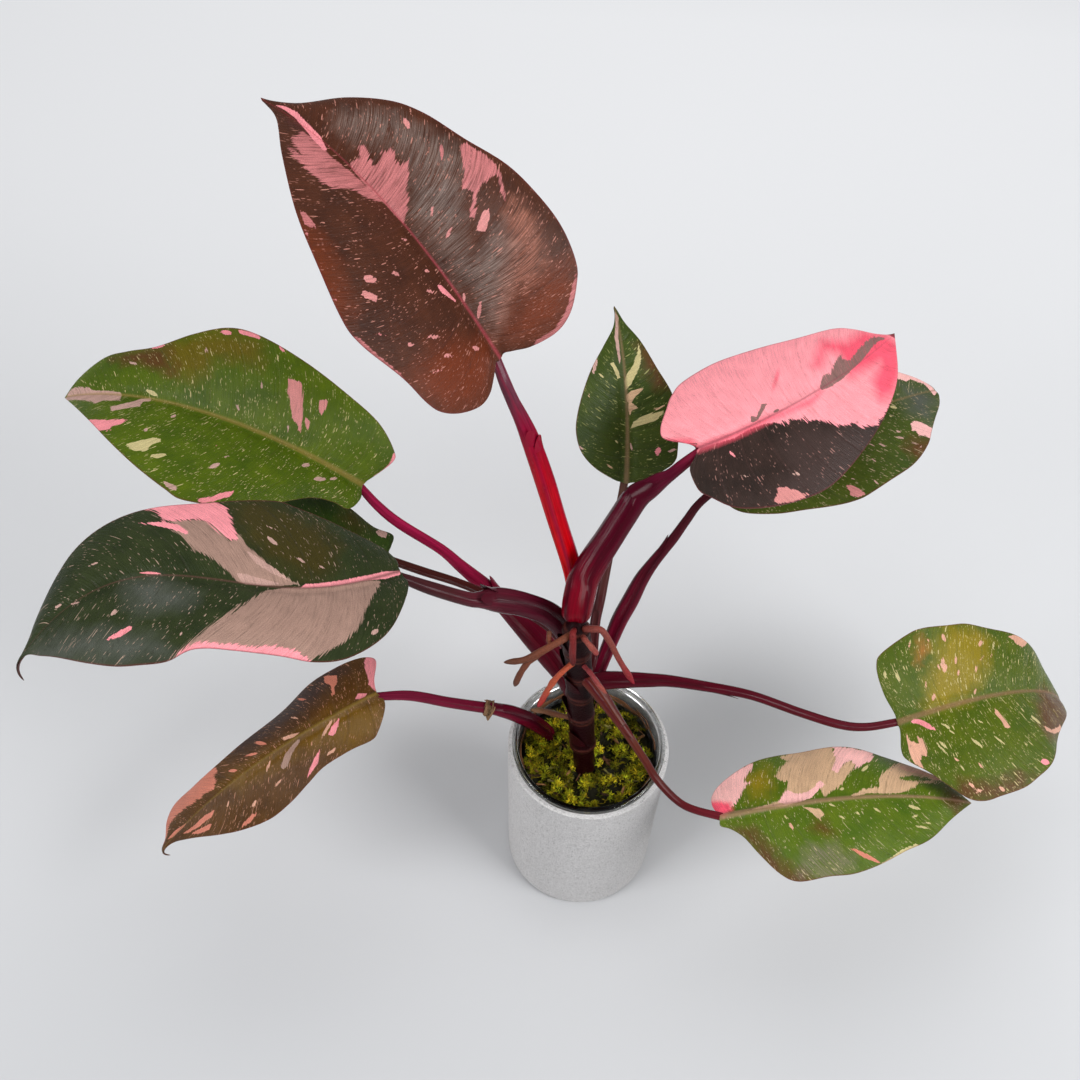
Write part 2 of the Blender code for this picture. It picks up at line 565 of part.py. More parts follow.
def blade_point(spec, x, y, across, share):
    """The place of the flat blade's point (x, y) on the bent blade, as an array.

    across is 0 at the midrib and 1 at the margin, share is 0 at the base and 1 at the tip.
    """
    along, upper, left = blade_axes(spec)
    length, droop = spec["length"], math.radians(spec["droop"])
    total = length + spec["tail"]
    steps = np.linspace(0, max(x, 0), 25)
    turn = droop * np.clip(steps / length, 0, 1) ** spec["bend"]
    turn += math.radians(spec["tail_curl"]) * np.clip((steps - length) / spec["tail"], 0, 1)
    run, fall = np.cos(turn), np.sin(turn)
    step = steps[1] - steps[0]
    ahead = min(x, 0) + step * (run.sum() - (run[0] + run[-1]) / 2)
    down = step * (fall.sum() - (fall[0] + fall[-1]) / 2)
    u = min(max(x / length, 0), total / length)
    fold = math.radians(spec["fold"]) * (1 - 0.35 * min(u, 1))
    out = abs(y)
    lift = out * math.sin(fold) - spec["curl"] * out ** 2 / 100
    lift += spec["puff"] * across * (1 - across) * 4 * math.sin(math.pi * share)
    height, count, phase = spec["wave"]
    side = 0.0 if y > 0 else 0.5
    lift += (height * across ** 2 * math.sin(math.pi * share)
             * math.sin(2 * math.pi * (count * share + phase + side)))
    bent = min(u, 1)
    shift = (spec["sweep"] * u ** 2 + spec["s_bend"] * math.sin(2 * math.pi * bent)) * length
    here_upper = math.sin(turn[-1]) * along + math.cos(turn[-1]) * upper
    return (np.array(spec["base"], float) + ahead * along - down * upper
            + (y * math.cos(fold) + shift) * left + lift * here_upper)


def margin(spec, side, rows):
    """Even points along one margin, from the base round the lobe to the tip."""
    total = spec["length"] + spec["tail"]
    flat = smooth_route([(0, 0)] + spec[side] + [(total, 0)], rows + 1)
    flat[:, 1] = np.maximum(flat[:, 1], 0)
    return flat


def blade_grid(spec, rows, columns):
    """Rows of points across the blade, from the left margin over the midrib to the right."""
    total = spec["length"] + spec["tail"]
    left, right = margin(spec, "left", rows), margin(spec, "right", rows)
    grid = []
    for i in range(1, rows):
        share = i / rows
        rib = total * share ** 1.35
        row = []
        for j in range(-columns, columns + 1):
            edge = left[i] if j < 0 else right[i]
            across = abs(j) / columns
            x = rib + (edge[0] - rib) * across
            y = edge[1] * across * (1 if j < 0 else -1)
            row.append(blade_point(spec, x, y, across, share))
        grid.append(row)
    first = blade_point(spec, 0, 0, 0, 0)
    last = blade_point(spec, total, 0, 0, 1)
    return first, grid, last


def blade_mesh(first, grid, last, below, above=0.0):
    """A closed blade: the upper face, the same face moved down, and the rim between.

    below and above are how far the lower and the upper face lie from the points.
    """
    width = len(grid[0])
    top = [first] + [p for row in grid for p in row] + [last]
    faces = []
    for j in range(width - 1):
        faces.append((0, 1 + j, 2 + j))
    for i in range(len(grid) - 1):
        for j in range(width - 1):
            a = 1 + i * width + j
            c = a + width
            if j < width // 2:
                faces += [(a, c, c + 1), (a, c + 1, a + 1)]
            else:
                faces += [(a, c, a + 1), (a + 1, c, c + 1)]
    end = len(top) - 1
    tail = 1 + (len(grid) - 1) * width
    for j in range(width - 1):
        faces.append((tail + j, end, tail + j + 1))
    points = np.array(top, float)
    normals = np.zeros_like(points)
    for a, b, c in faces:
        n = np.cross(points[b] - points[a], points[c] - points[a])
        for v in (a, b, c):
            normals[v] += n
    normals /= np.linalg.norm(normals, axis=1)[:, None]
    if normals[:, 2].mean() < 0:
        normals = -normals
    count = len(points)
    lower = points - normals * below
    points = points + normals * above
    faces += [(c + count, b + count, a + count) for a, b, c in faces]
    rim = [0] + [1 + i * width for i in range(len(grid))] + [end]
    rim += [width + i * width for i in range(len(grid))][::-1]
    for a, b in zip(rim, rim[1:] + rim[:1]):
        faces += [(a, b, b + count), (a, b + count, a + count)]
    return np.vstack([points, lower]).tolist(), faces


def blade(name, spec, mat):
    first, grid, last = blade_grid(spec, MARGIN_ROWS, HALF_COLUMNS)
    points, faces = blade_mesh(first, grid, last, BLADE_THICKNESS)
    return mesh_object(name, points, faces, mat)


def blade_room(name, spec, mat):
    """The space that a leaf stalk keeps clear of: the blade with a gap under it."""
    first, grid, last = blade_grid(spec, MARGIN_ROWS, HALF_COLUMNS)
    points, faces = blade_mesh(first, grid[:6], grid[6][HALF_COLUMNS],
                               BLADE_THICKNESS + GAP, ROOM_ABOVE)
    back = 1.5 * GAP * blade_axes(spec)[0]
    return mesh_object(name, np.array(points) - back, faces, mat)


def stalk_end(spec):
    """Where a leaf stalk stops: under the midrib, with its upper side in the blade."""
    along, upper, _ = blade_axes(spec)
    under = BLADE_THICKNESS + 0.7 * STALK_TIP_RADIUS
    end = np.array(spec["base"], float) + STALK_UNDER * along - under * upper
    return (*end, STALK_TIP_RADIUS)


def husk(mat, spec):
    """A dried ring of old sheath that hugs the lowest stalk."""
    path, radii = stalk_path(spec, 60)
    at = int(HUSK_AT * 59)
    tangent, up, side = (axes[at] for axes in section_axes(path))
    inner = radii[at] * 1.1 + GAP
    points = []
    sides = 12
    rings = [(inner, -HUSK_WIDTH / 2), (inner + HUSK_THICKNESS, -HUSK_WIDTH / 2),
             (inner + HUSK_THICKNESS * 1.4, HUSK_WIDTH / 2), (inner, HUSK_WIDTH / 2)]
    for r, shift in rings:
        for k in range(sides):
            a = 2 * math.pi * k / sides
            ragged = 1.2 * math.sin(3 * a + r) if shift > 0 else 0.0
            points.append(path[at] + tangent * (shift + ragged)
                          + r * (math.cos(a) * side + math.sin(a) * up))
    faces = []
    for ring in range(4):
        for k in range(sides):
            a, b = ring * sides + k, ring * sides + (k + 1) % sides
            c, d = ((ring + 1) % 4) * sides + k, ((ring + 1) % 4) * sides + (k + 1) % sides
            faces += [[a, b, d], [a, d, c]]
    return mesh_object("dried_husk", points, faces, mat)


def build():
    clear_scene()
    finishes = {"concrete": 0.9, "clear": 0.08, "mix": 0.95, "moss": 0.95, "root": 0.6,
                "husk": 0.9}
    mats = {name: material(name, colour, finishes.get(name, 0.35))
            for name, colour in COLOURS.items()}
    cover_pot(mats["concrete"])
    nursery_pot(mats["clear"])

    round_tube("cane", CANE_ROUTE, cane_radius, CANE_SIDES, CANE_SECTIONS, mats["cane"])
    cane_room = round_tube("cane_room", CANE_ROUTE, cane_radius, CANE_SIDES,
                           CANE_SECTIONS, mats["cane"], extra=GAP)
    hide_cutter(cane_room)

    rooms = {}
    stalks = {}
    for key, spec in PETIOLES.items():
        spec["end"] = stalk_end(BLADES[key])
        stalks[key] = stalk("petiole_" + key, spec, mats[spec["colour"]])
        rooms[key] = stalk("room_" + key, spec, mats[spec["colour"]], extra=GAP)
        hide_cutter(rooms[key])
        if key != "05":
            cut(stalks[key], cane_room)
        under = blade_room("under_" + key, BLADES[key], mats[spec["colour"]])
        hide_cutter(under)
        cut(stalks[key], under)
    for key, other in STALK_GIVES_WAY:
        cut(stalks[key], rooms[other])

    stem_rooms = [cane_room, rooms["05"]]
    potting_mix(mats["mix"], stem_rooms)
    moss(mats["moss"], stem_rooms)

    for key, spec in BLADES.items():
        blade("blade_" + key, spec, mats[spec["colour"]])

    for name, branches in ROOTS.items():
        radius, route = branches[0]
        root = round_tube(name, route, radius, ROOT_SIDES, 3 * len(route), mats["root"], 0.5)
        for n, (radius, route) in enumerate(branches[1:]):
            twig = round_tube(f"{name}_twig_{n}", route, radius, ROOT_SIDES,
                              2 * len(route), mats["root"], 0.5)
            join(root, twig)
        cut(root, cane_room)
        if name in ROOTS_BY_TOP_STALK:
            cut(root, rooms["07"])
    husk(mats["husk"], PETIOLES["05"])


build()
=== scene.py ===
"""Looks of the pink princess philodendron in its pot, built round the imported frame.

Every leaf, stalk, root and pot is modelled again as a fine mesh in the place of its CAD
node. Lengths in the tables are millimetres and angles are degrees; MM turns them into
metres. The leaf outlines and the routes are the ones of the CAD part.
"""

import math

import bmesh
import bpy
import numpy as np
from mathutils import Matrix, Vector


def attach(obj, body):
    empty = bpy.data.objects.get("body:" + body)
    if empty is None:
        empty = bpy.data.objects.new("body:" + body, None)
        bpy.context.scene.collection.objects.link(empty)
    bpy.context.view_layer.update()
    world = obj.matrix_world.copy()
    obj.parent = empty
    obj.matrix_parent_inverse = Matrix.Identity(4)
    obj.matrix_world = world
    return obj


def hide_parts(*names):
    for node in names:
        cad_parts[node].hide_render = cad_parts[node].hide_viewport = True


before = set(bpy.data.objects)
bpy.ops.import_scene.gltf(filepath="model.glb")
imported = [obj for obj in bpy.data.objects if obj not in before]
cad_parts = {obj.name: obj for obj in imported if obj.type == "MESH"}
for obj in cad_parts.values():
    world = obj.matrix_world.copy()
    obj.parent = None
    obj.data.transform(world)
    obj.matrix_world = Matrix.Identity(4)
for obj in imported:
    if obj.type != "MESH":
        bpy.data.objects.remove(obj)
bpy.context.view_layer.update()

MM = 0.001

# Camera: place and turn as solved from the photograph, on a square frame
CAMERA_PLACE = (-34.0, -390.0, 831.0)
CAMERA_DOWN = 52.5
CAMERA_ROLL = 2.6
CAMERA_LENS = 45.0
SENSOR_WIDTH = 36.0
PHOTO_SIZE = 1080.0  # width and height of the photograph in pixels

# Pots, potting mix and moss
COVER_HEIGHT = 126.0
COVER_TOP_RADIUS = 47.5
COVER_BASE_RADIUS = 46.0
COVER_WALL = 4.3
COVER_FLOOR = 6.0
COVER_FOOT_ROUND = 4.0
COVER_SEGMENTS = 160
NURSERY_WALL = 0.8
NURSERY_TOP_RADIUS = 42.6
NURSERY_BASE_RADIUS = 33.5
NURSERY_BASE_HEIGHT = 42.0
LIP_RADIUS = 45.0
LIP_LOW = 126.3
LIP_HEIGHT = 4.2
LIP_WIDTH = 3.2
NURSERY_SEGMENTS = 144
DRAIN_HOLES = 6
DRAIN_RADIUS = 3.5
DRAIN_CIRCLE = 22.0
DRAIN_DEPTH = 6.0
MOSS_TOP = 116.0
MOSS_LOW = 108.3
MOSS_LUMP = 2.0
MOSS_EDGE = 39.6
TUFTS = 2200
CLUMPS = 150
WALL_ROOTS = 16
WALL_ROOT_CIRCLE = 40.0

# Cane
CANE_ROUTE = [(-2, -8, 86), (-2, -8, 116), (-4, -5, 139), (-6, -2, 161), (-8, 0, 184),
              (-10, 3, 207), (-12, 5, 229), (-13.5, 7.3, 247)]
CANE_RADIUS = 7.4
CANE_FOOT_RADIUS = 6.2
CANE_SCARS = (139, 166, 186, 203, 222, 240)

# Remains of old leaf bases on the cane as (height, turn about it, reach)
CANE_SCALES = [(150, 200, 14), (158, 330, 12), (172, 250, 16), (181, 20, 12),
               (192, 300, 15), (199, 210, 13), (211, 265, 14), (219, 330, 12),
               (229, 240, 12)]

# Stalks: the centre line as (x, y, z, radius), the share that carries a sheath, and the
# colours along the stalk as (share, colour); rim is the colour of the sheath's edges
STALK_SIDES = 32
STALK_SECTIONS = 110
STALK_FLAT = 0.86
STALK_FOOT = 0.03
STALK_TIP_RADIUS = 2.3
STALK_UNDER = 3.0
BLADE_THICKNESS = 0.7

PETIOLES = {
    "01": dict(slot="red", sheath=0.72, route=[
        (-13, 7, 238, 4.0), (-12, 14, 240, 4.6), (-12, 21, 244, 5.0), (-14.6, 28, 253, 5.2),
        (-18, 33, 264, 5.2), (-25.7, 41.4, 286, 5.2), (-33.2, 49.2, 309, 5.3),
        (-41, 56, 331, 4.8), (-45.4, 59.2, 341.5, 4.0), (-50.5, 62.4, 352, 3.3),
        (-54.8, 65.6, 362, 3.0)],
        colours=[(0.0, (0.44, 0.001, 0.004)), (0.30, (0.50, 0.001, 0.004)),
                 (0.60, (0.36, 0.002, 0.012)), (0.76, (0.20, 0.006, 0.030)),
                 (0.86, (0.12, 0.030, 0.050)), (1.0, (0.13, 0.030, 0.050))],
        rim=(0.26, 0.001, 0.022), tips=[(0.5, 0.0, 10.0), (-0.2, -0.03, 9.0)]),
    "02": dict(slot="crimson", sheath=0.46, route=[
        (-7, 0, 167, 5.0), (-11, 9, 173, 6.2), (-15.9, 15.5, 179, 7.2), (-24.2, 23.4, 185, 8.0),
        (-33.8, 31.9, 191, 8.0), (-43.3, 39.6, 196, 7.0), (-55, 48.5, 202, 5.6),
        (-67, 56.6, 207.3, 4.5), (-79, 64, 212.6, 3.6), (-90.6, 71.3, 217.6, 3.1),
        (-114, 82.4, 224.4, 3.0), (-127, 89.5, 231, 2.8)],
        colours=[(0.0, (0.06, 0.001, 0.006)), (0.30, (0.08, 0.002, 0.010)),
                 (0.44, (0.16, 0.004, 0.022)), (0.56, (0.34, 0.006, 0.050)),
                 (0.80, (0.36, 0.010, 0.060)), (1.0, (0.24, 0.010, 0.045))],
        rim=(0.10, 0.002, 0.010), tips=[(1.2, 0.0, 12.0), (-0.6, 0.0, 12.0)]),
    "03": dict(slot="maroon", sheath=0.56, route=[
        (-11.5, 4, 219, 5.4), (-15.5, 10.5, 224, 6.4), (-20.2, 14.9, 229.4, 6.9),
        (-25.8, 16.5, 235, 6.9), (-32.3, 16.8, 240, 6.8), (-43, 15.2, 247.4, 6.8),
        (-50.8, 13.5, 251.6, 7.0), (-57.5, 11.8, 255, 6.4), (-63.5, 9.4, 257.6, 4.6),
        (-70, 7.2, 261, 3.9), (-88.5, 4.5, 273, 3.5)],
        colours=[(0.0, (0.030, 0.001, 0.005)), (0.35, (0.065, 0.004, 0.013)),
                 (0.6, (0.095, 0.012, 0.022)), (0.75, (0.060, 0.014, 0.016)),
                 (1.0, (0.055, 0.015, 0.017))],
        rim=(0.040, 0.003, 0.008), tips=[(0.6, 0.0, 10.0), (-0.9, -0.02, 8.0)]),
    "04": dict(slot="maroon", sheath=0.30, route=[
        (-10.5, 3, 206, 3.0), (-16, 12, 211, 3.0), (-26.4, 22.7, 215, 2.9),
        (-40.5, 31.3, 217, 2.8), (-54.6, 37.7, 217.4, 2.5), (-77.5, 48.2, 217, 2.4),
        (-100.8, 57.1, 215.3, 2.5)],
        colours=[(0.0, (0.05, 0.003, 0.006)), (0.6, (0.075, 0.012, 0.009)),
                 (1.0, (0.06, 0.014, 0.010))],
        rim=(0.06, 0.006, 0.010)),
    "05": dict(slot="crimson", sheath=0.48, route=[
        (-19, 10, 97, 4.2), (-21, 11, 108, 4.4), (-23.9, 12.2, 116.5, 4.6),
        (-28.6, 11.8, 124.6, 4.8), (-34.4, 11.2, 132.2, 4.8), (-40.8, 10.4, 138.4, 4.8),
        (-47, 10, 143, 4.5), (-52.8, 9.4, 146.2, 4.0), (-58.6, 8.8, 148.6, 3.5),
        (-81.6, 7.7, 155, 3.2), (-104.3, 7.4, 161.2, 3.0)],
        colours=[(0.0, (0.06, 0.001, 0.006)), (0.35, (0.12, 0.002, 0.014)),
                 (0.6, (0.14, 0.006, 0.024)), (1.0, (0.16, 0.010, 0.034))],
        rim=(0.06, 0.004, 0.012)),
    "06": dict(slot="maroon", sheath=0.40, route=[
        (-10, 3, 188, 2.6), (-5, 8, 192, 2.8), (-2.2, 14, 197.4, 2.9), (-1.8, 23, 204, 2.9),
        (-1.3, 31, 212, 2.9), (0.7, 39.6, 219, 2.8), (3.2, 52.2, 230.2, 2.6),
        (6, 66.1, 242.5, 2.4), (9.4, 82, 253.5, 2.2)],
        colours=[(0.0, (0.06, 0.004, 0.008)), (0.7, (0.075, 0.030, 0.026)),
                 (1.0, (0.10, 0.050, 0.035))],
        rim=(0.08, 0.014, 0.018)),
    "07": dict(slot="maroon", sheath=0.64, route=[
        (-13.5, 7.3, 245, 7.0), (-13.2, 10, 252.5, 8.0), (-12.2, 15, 258.5, 8.3),
        (-10.3, 21.2, 264, 8.2), (-5, 28.2, 272, 7.9), (1, 35, 280, 7.4), (6.8, 41.7, 288, 7.2),
        (14.1, 49.5, 297.5, 6.9), (20.8, 52.2, 302.4, 5.6), (25.7, 54.5, 305.6, 4.6),
        (30.5, 56.2, 308.6, 3.3), (37, 59.6, 313.5, 3.0)],
        colours=[(0.0, (0.17, 0.001, 0.008)), (0.14, (0.15, 0.001, 0.009)),
                 (0.34, (0.075, 0.001, 0.010)), (0.65, (0.060, 0.001, 0.010)),
                 (0.84, (0.085, 0.004, 0.018)), (1.0, (0.22, 0.010, 0.035))],
        rim=(0.045, 0.001, 0.006), tips=[(-0.5, 0.04, 13.0)]),
    "08": dict(slot="maroon", sheath=0.66, route=[
        (-8, 1, 168, 3.4), (-3, 9.5, 173, 3.6), (1.7, 16.1, 178.7, 3.8), (4.6, 21.7, 186, 4.0),
        (8.5, 29.5, 195, 4.3), (12.6, 37.5, 203.4, 4.7), (18.2, 45.8, 211.6, 4.8),
        (23.5, 54.1, 219.8, 4.2), (29.5, 61, 226.5, 3.4), (35.4, 67, 231.7, 3.0),
        (40.4, 72, 236, 2.8), (47.2, 79.9, 243, 2.5), (54.5, 87.3, 250.5, 2.3)],
        colours=[(0.0, (0.10, 0.004, 0.016)), (0.3, (0.14, 0.003, 0.018)),
                 (0.6, (0.075, 0.006, 0.014)), (1.0, (0.060, 0.012, 0.016))],
        rim=(0.055, 0.003, 0.010), tips=[(0.8, 0.0, 10.0)]),
    "09": dict(slot="maroon", sheath=0.42, route=[
        (-9, 1, 184, 4.6), (-3, 5.8, 185.6, 5.0), (3, 7.9, 185.7, 5.3), (9, 9, 185.4, 5.3),
        (20, 10.3, 184.6, 4.7), (31.2, 11.2, 183.7, 4.1), (42.6, 11.9, 182.6, 3.5),
        (60, 11.3, 180.2, 3.1), (88.7, 9.8, 175, 2.7), (118.5, 5.8, 165, 2.6),
        (142, 2.1, 159.7, 2.6), (158, 2.3, 158.2, 2.4)],
        colours=[(0.0, (0.07, 0.001, 0.008)), (0.4, (0.075, 0.003, 0.010)),
                 (0.7, (0.085, 0.007, 0.013)), (1.0, (0.10, 0.010, 0.018))],
        rim=(0.045, 0.002, 0.006), tips=[(-2.3, 0.02, 16.0)]),
    "10": dict(slot="maroon", sheath=0.34, route=[
        (-9, 1, 204, 4.4), (-5, -1.5, 203, 4.5), (-1, -4.5, 200, 4.4), (5, -10, 195, 3.9),
        (12.9, -18.1, 188.5, 2.9), (20.8, -25.4, 180.5, 2.4), (29.2, -32.3, 170, 2.3),
        (36.6, -38.8, 160.8, 2.3), (47.7, -46.4, 153, 2.2), (57.5, -50.4, 150.2, 2.2)],
        colours=[(0.0, (0.10, 0.014, 0.010)), (0.4, (0.10, 0.022, 0.012)),
                 (0.7, (0.075, 0.008, 0.008)), (1.0, (0.13, 0.010, 0.018))],
        rim=(0.07, 0.008, 0.012)),
}

# Leaf blades, as in the CAD part: base is where the stalk meets the blade; azimuth,
# elevation and roll turn it there; droop and bend curve the midrib down; fold lifts both
# halves and curl rolls their margins down; sweep and s_bend curve the midrib sideways;
# left and right are the margins as (along the midrib, out from it); tail is the drip
# tip's length and tail_curl its turn; wave is (height, count, phase) of the margin.
BLADES = {
    "01": dict(slot="brown_leaf", base=(-57, 70, 372), azimuth=148, elevation=50, roll=9,
               length=167, droop=55, bend=1.5, fold=18, curl=0, sweep=-0.014, s_bend=0,
               tail=7, tail_curl=-20, puff=4, wave=(1.5, 2.5, 0.1),
               left=[(-1, 7), (-7, 17), (-8, 28), (-3, 41), (4, 50), (12, 54), (27, 57),
                     (49, 65), (63, 64), (88, 52), (110, 40), (134, 23), (156, 6)],
               right=[(1, 5), (-4, 15), (-6, 30), (-2, 41), (8, 51), (16, 56), (33, 60),
                      (50, 60), (68, 57), (89, 48), (109, 42), (123, 36), (140, 24),
                      (156, 8)]),
    "02": dict(slot="green_leaf", base=(-136, 97, 240), azimuth=162, elevation=24,
               roll=17, length=190, droop=51, bend=1.5, fold=19, curl=0, sweep=0.14,
               s_bend=0, tail=3, tail_curl=10, puff=3, wave=(2.0, 2.0, 0.6),
               left=[(-3, 9), (0, 19), (9, 20), (21, 25), (37, 41), (55, 54), (75, 60),
                     (87, 57), (109, 48), (130, 37), (150, 25), (172, 12)],
               right=[(-2, 5), (-8, 20), (-5, 26), (10, 35), (32, 41), (59, 47), (88, 51),
                      (105, 50), (123, 42), (142, 32), (160, 28), (174, 24), (187, 12)]),
    "03": dict(slot="dark_leaf", base=(-103, 5, 285), azimuth=193, elevation=16, roll=-5,
               length=189, droop=56, bend=2.5, fold=1, curl=0, sweep=0.085, s_bend=0.06,
               tail=16, tail_curl=75, puff=3, wave=(2.0, 2.0, 0.3),
               left=[(-3, 8), (2, 22), (13, 36), (32, 44), (49, 45), (64, 43), (84, 44),
                     (102, 46), (114, 53), (126, 53), (139, 49), (155, 37), (175, 16),
                     (188, 2)],
               right=[(1, 9), (10, 22), (31, 41), (48, 53), (58, 58), (76, 57), (97, 51),
                      (125, 43), (153, 34), (166, 26), (180, 13), (189, 2)]),
    "04": dict(slot="green_leaf", base=(-120, 67, 215), azimuth=187, elevation=10, roll=0,
               length=106, droop=35, bend=1.5, fold=6, curl=0, sweep=0, s_bend=0,
               tail=4, tail_curl=20, puff=2, wave=(1.5, 2.0, 0.0),
               left=[(-3, 6), (-4, 16), (4, 28), (15, 35), (29, 40), (48, 41), (67, 36),
                     (85, 24), (98, 10)],
               right=[(-2, 6), (-3, 14), (8, 19), (21, 30), (30, 35), (44, 39), (65, 39),
                      (84, 27), (98, 11)]),
    "05": dict(slot="olive_leaf", base=(-123, 6, 165), azimuth=209, elevation=-8, roll=8,
               length=156, droop=38, bend=1.2, fold=-14, curl=0.35, sweep=0.06, s_bend=0,
               tail=14, tail_curl=95, puff=1, wave=(2.5, 2.5, 0.2),
               left=[(-2, 6), (1, 12), (8, 19), (14, 22), (28, 21), (45, 22), (58, 26),
                     (71, 29), (87, 29), (106, 24), (120, 18), (136, 9), (151, 2)],
               right=[(-2, 9), (-8, 22), (-3, 28), (6, 30), (17, 30), (34, 29), (54, 23),
                      (76, 19), (99, 16), (122, 17), (141, 18), (150, 13), (155, 3)]),
    "06": dict(slot="green_leaf", base=(12, 90, 260), azimuth=90, elevation=40, roll=-13,
               length=97, droop=24, bend=1.5, fold=12, curl=0, sweep=0.06, s_bend=0,
               tail=5, tail_curl=10, puff=1, wave=(0.8, 2.0, 0.0),
               left=[(2, 8), (8, 20), (16, 28), (26, 31), (36, 30), (49, 26), (62, 20),
                     (76, 11), (89, 3)],
               right=[(2, 9), (9, 22), (14, 27), (20, 28), (33, 28), (50, 26), (66, 18),
                      (80, 11), (91, 4)]),
    "07": dict(slot="pink_leaf", base=(44, 65, 320), azimuth=29, elevation=0, roll=-6,
               length=150, droop=18, bend=1.5, fold=-8, curl=0.15, sweep=0.22, s_bend=0,
               tail=5, tail_curl=-30, puff=1.5, wave=(1.0, 1.5, 0.2),
               left=[(-2, 4), (-12, 13), (-10, 21), (0, 32), (8, 40), (20, 47), (43, 50),
                     (68, 45), (95, 36), (120, 28), (132, 20), (144, 8)],
               right=[(-5, 4), (-10, 9), (-11, 20), (-7, 26), (3, 36), (21, 43), (42, 47),
                      (60, 47), (86, 41), (112, 33), (135, 22), (149, 8)]),
    "08": dict(slot="green_leaf", base=(68, 96, 262), azimuth=29, elevation=12, roll=-8,
               length=147, droop=30, bend=1.5, fold=6, curl=0, sweep=0, s_bend=0,
               tail=4, tail_curl=60, puff=1.5, wave=(3.0, 2.5, 0.4),
               left=[(-6, 7), (-8, 18), (-2, 30), (14, 40), (34, 45), (58, 45), (82, 40),
                     (106, 30), (128, 19), (141, 11)],
               right=[(-7, 5), (-9, 15), (-4, 25), (10, 34), (28, 40), (49, 48), (62, 49),
                      (86, 45), (101, 40), (114, 33), (122, 26), (129, 20), (142, 10)]),
    "09": dict(slot="green_leaf", base=(175, 5, 160), azimuth=22, elevation=4, roll=-21,
               length=150, droop=63, bend=1.5, fold=9, curl=0, sweep=-0.13, s_bend=0,
               tail=3, tail_curl=20, puff=2, wave=(2.5, 3.0, 0.0),
               left=[(0, 6), (-2, 16), (-2, 27), (0, 35), (5, 40), (24, 46), (33, 47),
                     (48, 45), (64, 44), (82, 40), (99, 35), (114, 27), (128, 16),
                     (142, 6)],
               right=[(-1, 6), (-5, 16), (-4, 22), (4, 32), (10, 42), (18, 53), (27, 57),
                      (38, 57), (54, 56), (65, 52), (78, 46), (96, 34), (114, 23),
                      (134, 12), (144, 5)]),
    "10": dict(slot="green_leaf", base=(72, -54, 150), azimuth=12, elevation=6, roll=4,
               length=150, droop=31, bend=1.5, fold=-14, curl=0, sweep=-0.03, s_bend=0,
               tail=3, tail_curl=10, puff=1.5, wave=(2.5, 3.0, 0.5),
               left=[(-2, 9), (0, 17), (8, 25), (25, 33), (44, 38), (58, 39), (79, 38),
                     (107, 32), (123, 25), (141, 13)],
               right=[(-1, 5), (4, 8), (10, 14), (16, 24), (25, 36), (34, 42), (50, 43),
                      (64, 43), (81, 38), (98, 32), (115, 26), (136, 11)]),
}
LEAF_ROWS = 150
LEAF_COLUMNS = 46
NARROWEST = 12.0  # least width of a half that the marks along its veins are drawn for
COLUMN_CROWD = 1.25  # over 1 it crowds the columns towards the midrib
ROW_CROWD = 1.35  # over 1 it crowds the rows towards the base
STROKE_LOOSE = 0.2
STROKE_PADDING = 0.1  # how much wider a stroke is drawn on each side
FAR_OUTSIDE = -60.0  # the value where no marking of a kind is near
VEIN_BOW = 0.07  # how far a side vein runs towards the tip by the margin, as a share

